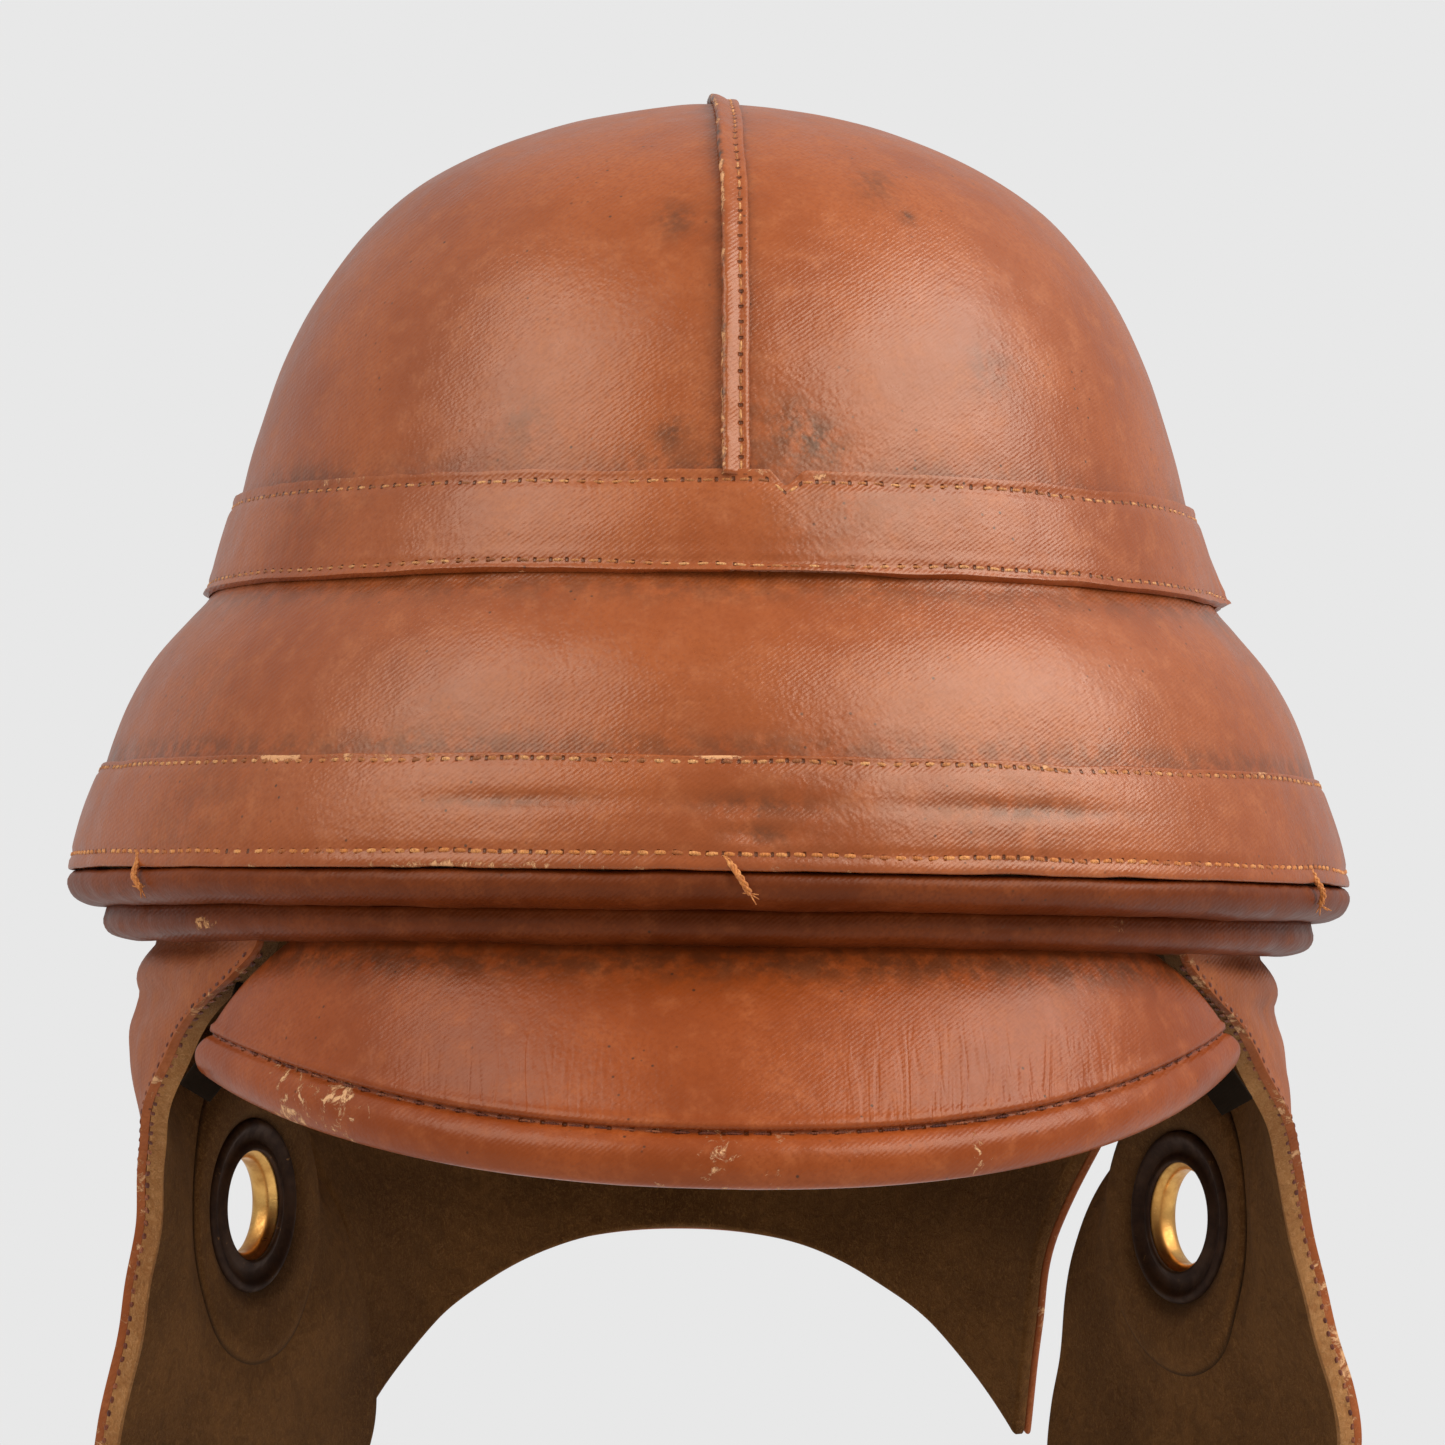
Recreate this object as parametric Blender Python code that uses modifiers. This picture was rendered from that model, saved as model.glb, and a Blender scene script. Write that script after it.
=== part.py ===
"""A leather-covered crash helmet for flying, with a peak, ear flaps, a nape curtain and a chin strap.

Metres, +Z up. The origin is the centre of the head opening at the rim. The wearer looks along -Y,
so left names the wearer's left, at +X.
"""

import math

import bmesh
import bpy
from mathutils import Matrix, Vector

# Plan: every level of the helmet is an oval, longer than it is wide
SEGMENTS = 32
CLEARANCE = 0.0003
MERGE_DISTANCE = 0.00001
SMOOTH_DEGREES = 40.0
CROWN_HALF_WIDTH = 0.102
LENGTH_EXCESS = 0.019

# Dome
DOME_FOOT_HEIGHT = 0.072
DOME_RISE = 0.1008
DOME_OUTLINE_SHARES = (
    (1.0, 0.0),
    (0.961, 0.143),
    (0.922, 0.30),
    (0.868, 0.468),
    (0.790, 0.622),
    (0.678, 0.762),
    (0.535, 0.866),
    (0.355, 0.943),
    (0.170, 0.986),
    (0.0, 1.0),
)

# Sheets
LEATHER = 0.0013
CROWN_CORK = 0.008
BELL_CORK = 0.0055
LINER_FELT = 0.004
CURTAIN_LEATHER = 0.0018
CURTAIN_FELT = 0.003
SHEET_GAP = 0.0005

# Crown shell and what lies inside it; the leathers of crown and bell meet just above the dome's foot
LEATHER_JOINT_RISE = 0.0045
LEATHER_JOINT_GAP = 0.001
CROWN_WALL_TAPER = 0.004
SHELL_FOOT_HEIGHT = 0.0026
SWEATBAND_THICKNESS = 0.0015
SWEATBAND_FOOT = -0.002
SWEATBAND_HEIGHT = 0.044
CRADLE_THICKNESS = 0.0016
CRADLE_BAND_HEIGHT = 0.014
CRADLE_BELOW_PAD = 0.0233
CRADLE_OPENING = 0.022
CRADLE_STEPS = 5
TONGUE_COUNT = 8
TONGUE_TIP_SHARE = 0.55
PAD_HALF_WIDTH = 0.036
PAD_THICKNESS = 0.009
SEAM_GAP = 0.0006
WELT_WIDTH = 0.0046
WELT_THICKNESS = 0.0021

# Bell and bands
BELL_FLARE = 0.0283
BELL_FOOT_HEIGHT = 0.0155
# Outer face of the bell, as shares of its flare and of its height
BELL_OUTLINE_SHARES = (
    (0.0, 1.0),
    (0.064, 0.917),
    (0.201, 0.842),
    (0.442, 0.705),
    (0.611, 0.568),
    (0.728, 0.432),
    (0.820, 0.292),
    (0.905, 0.158),
    (1.0, 0.0),
)
BELL_CORK_DROP = 0.002
BAND_THICKNESS = 0.0014
CROWN_BAND_RISE = 0.019
CROWN_BAND_DROP = 0.0015
BRIM_BAND_RISE = 0.0207
BRIM_BAND_DROP = 0.0007

# Underside
SPACER_TOP = 0.030
SPACER_CHAMFER = 0.005
FACING_THICKNESS = 0.0012
OUTER_ROLL_HALF_WIDTH = 0.0056
OUTER_ROLL_HALF_HEIGHT = 0.0034
OUTER_ROLL_PROUD = 0.0013
OUTER_ROLL_DROP = 0.0008
INNER_ROLL_HALF_WIDTH = 0.0050
INNER_ROLL_HALF_HEIGHT = 0.0036
INNER_ROLL_STEP_IN = 0.0068
INNER_ROLL_STEP_DOWN = 0.0062
ROLL_LEATHER = 0.0011
ROLL_SLOT_DEGREES = 62.0
ROLL_FULLNESS = 2.2
ROLL_POINTS = 6

# Curtain: the flap roots, ear flaps and nape curtain share one surface
CURTAIN_INSET = 0.001
CREASE_DROP = 0.0132
FLAP_DROP = 0.139
FLAP_INWARD_DEGREES = 10.0
# Height as a share of the drop; front and rear edge as shares of the curtain's half width and half
# length; how far the row still follows the oval
FLAP_ROW_SHARES = (
    (-0.010, 0.700, -0.712, 0.908, 0.417, 1.0),
    (0.000, 0.702, -0.708, 0.908, 0.418, 1.0),
    (0.045, 0.800, -0.600, 0.906, 0.421, 1.0),
    (0.095, 0.869, -0.492, 0.902, 0.427, 1.0),
    (0.125, 0.893, -0.448, 0.896, 0.432, 0.97),
    (0.165, 0.911, -0.415, 0.878, 0.440, 0.85),
    (0.245, 0.945, -0.332, 0.822, 0.458, 0.50),
    (0.305, 0.962, -0.268, 0.770, 0.474, 0.28),
    (0.377, 0.981, -0.222, 0.712, 0.490, 0.12),
    (0.460, 0.997, -0.200, 0.668, 0.508, 0.04),
    (0.540, 1.010, -0.192, 0.648, 0.528, 0.0),
    (0.614, 1.032, -0.184, 0.638, 0.550, 0.0),
    (0.700, 1.054, -0.180, 0.632, 0.562, 0.0),
    (0.790, 1.058, -0.150, 0.644, 0.535, 0.0),
    (0.875, 1.040, -0.078, 0.694, 0.455, 0.0),
    (0.945, 0.998, 0.004, 0.768, 0.346, 0.0),
    (1.000, 0.948, 0.068, 0.846, 0.228, 0.0),
)
# Half width of the curtain as a share of its own, by height as a share of the drop
PUFF_SHARES = ((-0.010, 0.990), (0.028, 0.988), (0.060, 0.994), (0.085, 0.994), (0.120, 1.004),
               (0.170, 1.014), (0.250, 1.016), (1.000, 1.016))
FLAP_ROWS = 12
FLAP_COLUMNS = 9
ROOT_ROWS = 3
# How far apart, as a share of the sheet, the points are that give its slope
SLOPE_SHARE = 0.01
EAR_SLOPE_SHARE = 0.14

NAPE_SIDE_DROP = 0.104
NAPE_CENTRE_DROP = 0.062
NAPE_ARCH_POWER = 2.2
NAPE_ROWS = 7
NAPE_COLUMNS = 14
# Height as a share of the side drop; half width and half length as shares of the curtain's; side edge
# in degrees from the wearer's left
NAPE_ROW_SHARES = (
    (-0.010, 0.990, 0.992, 25.6),
    (0.000, 0.990, 0.992, 25.6),
    (0.038, 0.988, 0.990, 25.9),
    (0.115, 0.994, 0.994, 26.5),
    (0.220, 0.955, 0.986, 28.4),
    (0.330, 0.905, 0.975, 30.6),
    (0.450, 0.862, 0.960, 33.2),
    (0.580, 0.828, 0.943, 36.0),
    (0.770, 0.842, 0.930, 39.6),
    (1.000, 0.872, 0.920, 43.2),
)

# Ear fittings
EAR_HOLE_HEIGHT = -0.054
EAR_HOLE_ALONG_SHARE = 0.57
GROMMET_BORE_RADIUS = 0.0113
GROMMET_WALL = 0.0014
GROMMET_FLANGE_RADIUS = 0.0196
GROMMET_FLANGE = 0.0012
GROMMET_SEGMENTS = 24
WASHER_THICKNESS = 0.0012
PATCH_THICKNESS = 0.0012
PATCH_HALF_WIDTH = 0.030
PATCH_HALF_HEIGHT = 0.034
PATCH_DROP = 0.006
PATCH_SIDES = 24
FLAT_RADIUS = 0.023
FLAT_FADE = 0.017

# Peak
PEAK_ROOT_DEGREES = 43.2
PEAK_ROOT_INSET = 0.0022
PEAK_TIP_DEGREES = 59.5
PEAK_TIP_SPREAD = 0.0005
PEAK_FRONT_LENGTH = 0.030
PEAK_SIDE_LENGTH = 0.0035
PEAK_LENGTH_POWER = 3.5
PEAK_FRONT_DROP = 0.0425
PEAK_SIDE_DROP = 0.0170
PEAK_DROP_POWER = 2.2
PEAK_CAMBER = 0.0022
PEAK_STATIONS = 18
PEAK_BOARD_THICKNESS = 0.0022
PEAK_LEATHER = 0.0012
PEAK_LINING = 0.0009
PEAK_BINDING_WIDTH = 0.0100
PEAK_BEAD_HALF_THICKNESS = 0.0031

# Chin strap and buckle
STRAP_WIDTH = 0.016
STRAP_THICKNESS = 0.0022
STRAP_LENGTH = 0.150
STRAP_POINT = 0.009
STRAP_HOLE_RADIUS = 0.0016
STRAP_HOLE_COUNT = 6
STRAP_HOLE_PITCH = 0.012
STRAP_HOLE_START = 0.020
STRAP_HOLE_SIDES = 8
STRAP_TOP_ROUNDING_SHARE = 0.96
ROUND_STEPS = 3
TAB_HEIGHT = 0.019
TAB_THICKNESS = 0.0015
CHAPE_LENGTH = 0.027
CHAPE_LEATHER = 0.0014
CHAPE_SLOT = 0.0038
KEEPER_HEIGHT = 0.007
KEEPER_THICKNESS = 0.0012
KEEPER_DROP = 0.008
BUCKLE_WIRE_RADIUS = 0.0012
BUCKLE_HALF_WIDTH = 0.0108
BUCKLE_HEIGHT = 0.0165
BUCKLE_CORNER = 0.0035
BUCKLE_SIDES = 12
CORNER_STEPS = 3
WIRE_RESOLUTION = 2
PRONG_RADIUS = 0.0009
PRONG_EYE_WIDTH = 0.0024
PRONG_EYE_WALL = 0.0012
CUT_OVERRUN = 0.004

# Colour, roughness and metallic value of each material
FINISHES = {
    "tan_leather": ((0.33, 0.105, 0.036), 0.38, 0.0),
    "strap_leather": ((0.27, 0.085, 0.030), 0.45, 0.0),
    "lining_felt": ((0.24, 0.16, 0.075), 0.95, 0.0),
    "cork": ((0.42, 0.27, 0.15), 0.9, 0.0),
    "cord_core": ((0.55, 0.47, 0.34), 0.9, 0.0),
    "fibre_board": ((0.16, 0.10, 0.06), 0.8, 0.0),
    "black_lining": ((0.02, 0.017, 0.015), 0.7, 0.0),
    "brown_enamel": ((0.10, 0.040, 0.018), 0.35, 0.4),
    "brass": ((0.72, 0.48, 0.20), 0.3, 1.0),
}


def new_collection(name):
    group = bpy.data.collections.new(name)
    bpy.context.scene.collection.children.link(group)
    return group


def clear_scene():
    for existing in list(bpy.data.objects):
        bpy.data.objects.remove(existing, do_unlink=True)


def material(finish):
    if finish in bpy.data.materials:
        return bpy.data.materials[finish]
    colour, roughness, metallic = FINISHES[finish]
    made = bpy.data.materials.new(finish)
    made.use_nodes = True
    shader = made.node_tree.nodes["Principled BSDF"]
    shader.inputs["Base Color"].default_value = (*colour, 1.0)
    shader.inputs["Roughness"].default_value = roughness
    shader.inputs["Metallic"].default_value = metallic
    return made


clear_scene()
HELMET = new_collection("flying_helmet")
CUTTERS = new_collection("cutters")


def place(name, bm, finish, matrix=None):
    """Turns a bmesh into a named part."""
    bmesh.ops.recalc_face_normals(bm, faces=bm.faces)
    mesh = bpy.data.meshes.new(name)
    bm.to_mesh(mesh)
    bm.free()
    mesh.shade_smooth()
    mesh.set_sharp_from_angle(angle=math.radians(SMOOTH_DEGREES))
    made = bpy.data.objects.new(name, mesh)
    HELMET.objects.link(made)
    made.data.materials.append(material(finish))
    if matrix is not None:
        made.matrix_world = matrix
    return made


def cutter(name, bm, matrix=None):
    bmesh.ops.recalc_face_normals(bm, faces=bm.faces)
    mesh = bpy.data.meshes.new(name)
    bm.to_mesh(mesh)
    bm.free()
    made = bpy.data.objects.new(name, mesh)
    CUTTERS.objects.link(made)
    made.hide_render = True
    made.display_type = "WIRE"
    if matrix is not None:
        made.matrix_world = matrix
    return made


def rod(bm, radius, length, sides, matrix=Matrix()):
    """Adds a closed cylinder round the matrix's Z axis."""
    bmesh.ops.create_cone(bm, cap_ends=True, segments=sides, radius1=radius, radius2=radius, depth=length,
                          matrix=matrix)


def slab(bm, size, centre):
    """Adds a box of a size round a centre."""
    bmesh.ops.create_cube(bm, size=1, matrix=Matrix.Translation(centre) @ Matrix.Diagonal((*size, 1)))


def cutters(name, bm, matrix):
    """Left and right cutters from a shape that is symmetric across its own X."""
    left = cutter(name + "_left", bm, matrix)
    right = left.copy()
    right.name = name + "_right"
    right.matrix_world = side_matrix(matrix, -1)
    CUTTERS.objects.link(right)
    return left, right


def hinge(name, matrix):
    """An empty on a joint's axis."""
    made = bpy.data.objects.new(name, None)
    HELMET.objects.link(made)
    made.matrix_world = matrix
    return made


def hang(carrier, *parts):
    """Lets parts follow their carrier from where they are."""
    for part in parts:
        part.parent = carrier
        part.matrix_parent_inverse = carrier.matrix_world.inverted()


def combine(part, tool, operation):
    change = part.modifiers.new(tool.name, "BOOLEAN")
    change.operation = operation
    change.object = tool
    change.solver = "EXACT"
    return part


def face_outwards(part):
    """Turns an open sheet's faces away from the middle of the helmet, so that it thickens inwards."""
    middle = Vector((0, 0, DOME_FOOT_HEIGHT))
    if sum(face.normal.dot(face.center - middle) * face.area for face in part.data.polygons) < 0:
        part.data.flip_normals()


def thicken(part, thickness, even=True):
    """Gives a sheet its thickness, inwards from the modelled face."""
    face_outwards(part)
    wall = part.modifiers.new("thickness", "SOLIDIFY")
    wall.thickness = thickness
    wall.offset = -1.0
    wall.use_even_offset = even
    wall.use_rim = True
    return part


def mirrored_copy(part, name):
    """The same part for the wearer's right side."""
    mesh = part.data.copy()
    mesh.transform(Matrix.Scale(-1, 4, Vector((1, 0, 0))))
    mesh.flip_normals()
    copy = bpy.data.objects.new(name, mesh)
    HELMET.objects.link(copy)
    for source in part.modifiers:
        twin = copy.modifiers.new(source.name, source.type)
        if source.type == "SOLIDIFY":
            twin.thickness = source.thickness
            twin.offset = source.offset
            twin.use_even_offset = source.use_even_offset
    return copy


# Ovals


def half_length(half_width):
    """Half the length of the oval that is this wide."""
    return half_width + LENGTH_EXCESS * min(1.0, half_width / CROWN_HALF_WIDTH)


def ring(bm, half_width, height):
    """Points round the oval, or the same point each time on the axis."""
    if half_width == 0:
        return [bm.verts.new((0, 0, height))] * SEGMENTS
    return [bm.verts.new(on_oval(half_width, angle, height)) for angle in ring_angles()]


def on_oval(half_width, angle, height):
    return Vector((half_width * math.cos(angle), half_length(half_width) * math.sin(angle), height))


def inset(outline, distance):
    """The outline, read from the foot up or the top down, moved towards the axis by a distance."""
    moved = []
    rising = outline[-1][1] > outline[0][1]
    for index, (half_width, height) in enumerate(outline):
        before = outline[max(index - 1, 0)]
        after = outline[min(index + 1, len(outline) - 1)]
        if half_width == 0:
            moved.append((0.0, height - distance))
            continue
        along = Vector((after[0] - before[0], after[1] - before[1])).normalized()
        outward = Vector((along.y, -along.x)) if rising else Vector((-along.y, along.x))
        moved.append((half_width - outward.x * distance, height - outward.y * distance))
    return moved


def ring_angles():
    return [math.tau * index / SEGMENTS for index in range(SEGMENTS)]


def oval_surface(outline):
    """An open skin through the outline, closed over the top where the outline reaches the axis."""
    bm = bmesh.new()
    bridge(bm, [ring(bm, *point) for point in outline], closed=True)
    return bm


def oval_solid(section):
    """A closed section carried round the oval."""
    bm = bmesh.new()
    rings = [ring(bm, *point) for point in section]
    bridge(bm, rings + rings[:1], closed=True)
    return bm


def bridge(bm, rows, closed=False):
    """Faces between neighbouring rows of points; a shared point makes triangles."""
    count = len(rows[0])
    for low, high in zip(rows, rows[1:]):
        for index in range(count if closed else count - 1):
            following = (index + 1) % count
            corners = list(dict.fromkeys((low[index], low[following], high[following], high[index])))
            if len(corners) > 2:
                bm.faces.new(corners)


def dome_outline():
    foot = DOME_FOOT_HEIGHT
    return [(CROWN_HALF_WIDTH * wide, foot + DOME_RISE * high) for wide, high in DOME_OUTLINE_SHARES]


def outline_at(outline, height):
    """Half width of an outline at a height."""
    ordered = sorted(outline, key=lambda point: point[1])
    for low, high in zip(ordered, ordered[1:]):
        if low[1] <= height <= high[1]:
            share = (height - low[1]) / (high[1] - low[1])
            return low[0] + (high[0] - low[0]) * share
    return ordered[0][0] if height < ordered[0][1] else ordered[-1][0]


def above(outline, height):
    """The part of a rising outline above a height, with a point at that height."""
    higher = [point for point in outline if point[1] > height + CLEARANCE]
    return [(outline_at(outline, height), height)] + higher


def strip_over(skin, top, foot):
    """Outer face of a strip sewn over a skin between two heights, read down from its top."""
    margin = BAND_THICKNESS
    between = [point for point in skin if foot + margin < point[1] < top - margin]
    between.sort(key=lambda point: -point[1])
    line = [(outline_at(skin, top), top), *between, (outline_at(skin, foot), foot)]
    return inset(line, -BAND_THICKNESS - CLEARANCE)


# Crown


def leather_joint():
    return DOME_FOOT_HEIGHT + LEATHER_JOINT_RISE


def crown_leathers():
    skin = above(dome_outline(), leather_joint())
    bm = oval_solid(skin + list(reversed(inset(skin, LEATHER))))
    half = bmesh.ops.bisect_plane(
        bm,
        geom=bm.verts[:] + bm.edges[:] + bm.faces[:],
        plane_co=(SEAM_GAP, 0, 0),
        plane_no=(1, 0, 0),
        clear_inner=True,
    )
    rim = [item for item in half["geom_cut"] if isinstance(item, bmesh.types.BMEdge)]
    bmesh.ops.contextual_create(bm, geom=rim)
    left = place("crown_leather_left", bm, "tan_leather")
    mirrored_copy(left, "crown_leather_right")


def crown_shell_outline():
    dome = above(inset(dome_outline(), LEATHER + CLEARANCE), leather_joint())
    return [(CROWN_HALF_WIDTH - CROWN_WALL_TAPER, SHELL_FOOT_HEIGHT)] + dome


def crown_shell():
    shell = place("crown_shell", oval_surface(crown_shell_outline()), "cork")
    thicken(shell, CROWN_CORK)


def crown_wall_at(height):
    return outline_at(crown_shell_outline(), height)


def welt():
    """The raised strip over the crown seam, from the crown band in front to the crown band behind."""
    dome = above(dome_outline(), crown_band_outline()[0][1] + CLEARANCE)
    profile = [(-half_length(width), height) for width, height in dome[:-1]]
    profile += [(0.0, dome[-1][1])]
    profile += [(-reach, height) for reach, height in reversed(profile[:-1])]
    bm = bmesh.new()
    rows = []
    for index, (reach, height) in enumerate(profile):
        before = Vector(profile[max(index - 1, 0)])
        after = Vector(profile[min(index + 1, len(profile) - 1)])
        along = (after - before).normalized()
        outward = Vector((0, -along.y, along.x))
        foot = Vector((0, reach, height)) + outward * CLEARANCE
        crest = foot + outward * WELT_THICKNESS
        shoulder = foot + outward * WELT_THICKNESS / 2
        side = Vector((WELT_WIDTH / 2, 0, 0))
        section = foot - side, shoulder - side, crest, shoulder + side, foot + side
        rows.append([bm.verts.new(at) for at in section])
    bridge(bm, [row + row[:1] for row in rows])
    bm.faces.new(rows[0])
    bm.faces.new(reversed(rows[-1]))
    place("crown_seam_welt", bm, "tan_leather")


def crown_band_outline():
    skin = above(dome_outline(), leather_joint()) + bell_outline()
    return strip_over(skin, DOME_FOOT_HEIGHT + CROWN_BAND_RISE, DOME_FOOT_HEIGHT - CROWN_BAND_DROP)


def brim_band_outline():
    return strip_over(bell_outline(), BELL_FOOT_HEIGHT + BRIM_BAND_RISE, BELL_FOOT_HEIGHT - BRIM_BAND_DROP)


def band(name, outline):
    place(name, oval_solid(outline + list(reversed(inset(outline, BAND_THICKNESS)))), "tan_leather")


# Bell and underside


def bell_outline():
    """Outer face of the bell's leather, read down from the joint with the crown leather."""
    top = leather_joint() - LEATHER_JOINT_GAP
    neck = outline_at(dome_outline(), top)
    foot = BELL_FOOT_HEIGHT
    return [(neck + BELL_FLARE * wide, foot + (top - foot) * high) for wide, high in BELL_OUTLINE_SHARES]


def bell_cork_outlines():
    """Outer and inner face of the bell's cork, read down; the inner one keeps clear of the crown wall."""
    top = DOME_FOOT_HEIGHT - BELL_CORK_DROP
    outside = [point for point in inset(bell_outline(), LEATHER + CLEARANCE) if point[1] < top]
    inside = inset(outside, BELL_CORK)
    seated = [(max(width, crown_wall_at(height) + CLEARANCE), height) for width, height in inside]
    return outside, seated


def bell():
    leather = place("bell_leather", oval_surface(bell_outline()), "tan_leather")
    thicken(leather, LEATHER)
    outside, inside = bell_cork_outlines()
    place("bell_shell", oval_solid(outside + list(reversed(inside))), "cork")


def spacer():
    inner = crown_wall_at(SPACER_TOP) + CLEARANCE
    step = roll_inside(inner_roll()) - CLEARANCE
    shelf = inner_roll()["height"] + INNER_ROLL_HALF_HEIGHT + CLEARANCE
    outer = outline_at(bell_cork_outlines()[1], SPACER_TOP - SPACER_CHAMFER) - CLEARANCE
    section = (
        (inner, SPACER_TOP),
        (inner, SHELL_FOOT_HEIGHT),
        (step, SHELL_FOOT_HEIGHT),
        (step, shelf),
        (outer, shelf),
        (outer, SPACER_TOP - SPACER_CHAMFER),
        (outer - SPACER_CHAMFER, SPACER_TOP),
    )
    place("felt_spacer_ring", oval_solid(section), "lining_felt")


def facing():
    inner = sweatband_half_width() + CLEARANCE
    outer = roll_inside(inner_roll()) - CLEARANCE
    top = SHELL_FOOT_HEIGHT - CLEARANCE
    foot = top - FACING_THICKNESS
    section = ((inner, top), (inner, foot), (outer, foot), (outer, top))
    place("facing_ring", oval_solid(section), "tan_leather")


def outer_roll():
    """Centre, as a half width and a height, and half sizes of the roll below the brim band."""
    return {
        "out": bell_outline()[-1][0] + OUTER_ROLL_PROUD - OUTER_ROLL_HALF_WIDTH,
        "height": BELL_FOOT_HEIGHT - BRIM_BAND_DROP - OUTER_ROLL_DROP - OUTER_ROLL_HALF_HEIGHT,
        "half_width": OUTER_ROLL_HALF_WIDTH,
        "half_height": OUTER_ROLL_HALF_HEIGHT,
    }


def inner_roll():
    outer = outer_roll()
    return {
        "out": outer["out"] - INNER_ROLL_STEP_IN,
        "height": outer["height"] - INNER_ROLL_STEP_DOWN,
        "half_width": INNER_ROLL_HALF_WIDTH,
        "half_height": INNER_ROLL_HALF_HEIGHT,
    }


def roll_inside(roll):
    return roll["out"] - roll["half_width"]


def roll_foot(roll):
    return roll["height"] - roll["half_height"]


def roll_section(roll, margin, start, end, count):
    """Points of a rounded roll, read round its own centre."""
    points = []
    for index in range(count):
        angle = start + (end - start) * index / (count - 1)
        out = fuller(math.cos(angle)) * (roll["half_width"] - margin)
        rise = fuller(math.sin(angle)) * (roll["half_height"] - margin)
        points.append((roll["out"] + out, roll["height"] + rise))
    return points


def fuller(direction):
    """A sine or cosine bent so that the oval it draws is fuller at its corners."""
    return math.copysign(abs(direction) ** (2 / ROLL_FULLNESS), direction)


def rolls():
    for name, roll in (("outer_edge_roll", outer_roll()), ("inner_edge_roll", inner_roll())):
        open_half = math.radians(ROLL_SLOT_DEGREES) / 2
        start, end = -math.pi + open_half, math.pi - open_half
        outside = roll_section(roll, 0.0, start, end, ROLL_POINTS)
        inside = roll_section(roll, ROLL_LEATHER, start, end, ROLL_POINTS)
        place(name, oval_solid(outside + list(reversed(inside))), "tan_leather")
        core = roll_section(roll, ROLL_LEATHER + CLEARANCE, start, end, ROLL_POINTS)
        place(name + "_cord", oval_solid(core), "cord_core")


# Lining


def liner_outline():
    """The inside of the crown shell, with every other point of its dome."""
    inside = inset(crown_shell_outline(), CROWN_CORK + CLEARANCE * 2)
    return inside[:1] + inside[1:-1:2] + inside[-1:]


def liner():
    felt = place("felt_liner", oval_surface(liner_outline()), "lining_felt")
    thicken(felt, LINER_FELT)


def inside_of_liner():
    return inset(liner_outline(), LINER_FELT + CLEARANCE)


def sweatband_half_width():
    return min(width for width, height in inside_of_liner() if height < SWEATBAND_HEIGHT)


def sweatband():
    outer = sweatband_half_width()
    inner = outer - SWEATBAND_THICKNESS
    top, foot = SWEATBAND_HEIGHT, SWEATBAND_FOOT
    section = ((outer, top), (inner, top), (inner, foot), (outer, foot))
    place("sweatband", oval_solid(section), "strap_leather")


def head_cradle():
    """A band with tongues that arch over the head and stop short of the middle."""
    foot = SWEATBAND_HEIGHT + CLEARANCE
    side = sweatband_half_width() - SWEATBAND_THICKNESS / 2
    rise = pad_face_height() - CRADLE_BELOW_PAD - foot - CRADLE_BAND_HEIGHT
    band_top = foot + CRADLE_BAND_HEIGHT
    outline = [(side, foot), (side, band_top)]
    lean = math.acos(CRADLE_OPENING / side)
    for step in range(1, CRADLE_STEPS + 1):
        turn = lean * step / CRADLE_STEPS
        outline.append((side * math.cos(turn), band_top + rise * math.sin(turn) / math.sin(lean)))
    columns = SEGMENTS // TONGUE_COUNT
    bm = bmesh.new()
    band_rows = [ring(bm, *point) for point in outline[:2]]
    bridge(bm, band_rows, closed=True)
    for tongue in range(TONGUE_COUNT):
        first = tongue * columns
        spread = [ring_angles()[first + index] for index in range(columns)]
        middle = sum(spread) / len(spread)
        rows = [[band_rows[1][first + index] for index in range(columns)]]
        for number, (width, height) in enumerate(outline[2:], start=1):
            keep = 1 - (1 - TONGUE_TIP_SHARE) * number / CRADLE_STEPS
            fanned = [middle + (angle - middle) * keep for angle in spread]
            rows.append([bm.verts.new(on_oval(width, angle, height)) for angle in fanned])
        bridge(bm, rows)
    cradle = place("head_cradle", bm, "strap_leather")
    thicken(cradle, CRADLE_THICKNESS)


def pad_face_height():
    return outline_height_at(inside_of_liner(), PAD_HALF_WIDTH) - PAD_THICKNESS


def crown_pad():
    """A felt pad under the top of the liner, flat below and domed above."""
    flat = pad_face_height()
    dome = [(width, height) for width, height in inside_of_liner() if width < PAD_HALF_WIDTH]
    outline = [(0.0, flat), (PAD_HALF_WIDTH, flat), (PAD_HALF_WIDTH, flat + PAD_THICKNESS)] + dome
    place("crown_pad", oval_surface(outline), "lining_felt")


def outline_height_at(outline, half_width):
    """Height of a dome's outline where it is this half wide."""
    ordered = sorted(outline)
    for near, far in zip(ordered, ordered[1:]):
        if near[0] <= half_width <= far[0] and far[0] > near[0]:
            return near[1] + (far[1] - near[1]) * (half_width - near[0]) / (far[0] - near[0])
    return ordered[0][1]


# Curtain


def read_row(table, share):
    """Values of a table at a share of its first column, straight between its rows."""
    for low, high in zip(table, table[1:]):
        if share <= high[0]:
            break
    part = min(max((share - low[0]) / (high[0] - low[0]), 0.0), 1.0)
    return [near + (far - near) * part for near, far in zip(low[1:], high[1:])]


def curtain_half_width():
    return inner_roll()["out"] - CURTAIN_INSET


def curtain_top():
    return roll_foot(inner_roll()) - SHEET_GAP


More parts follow.
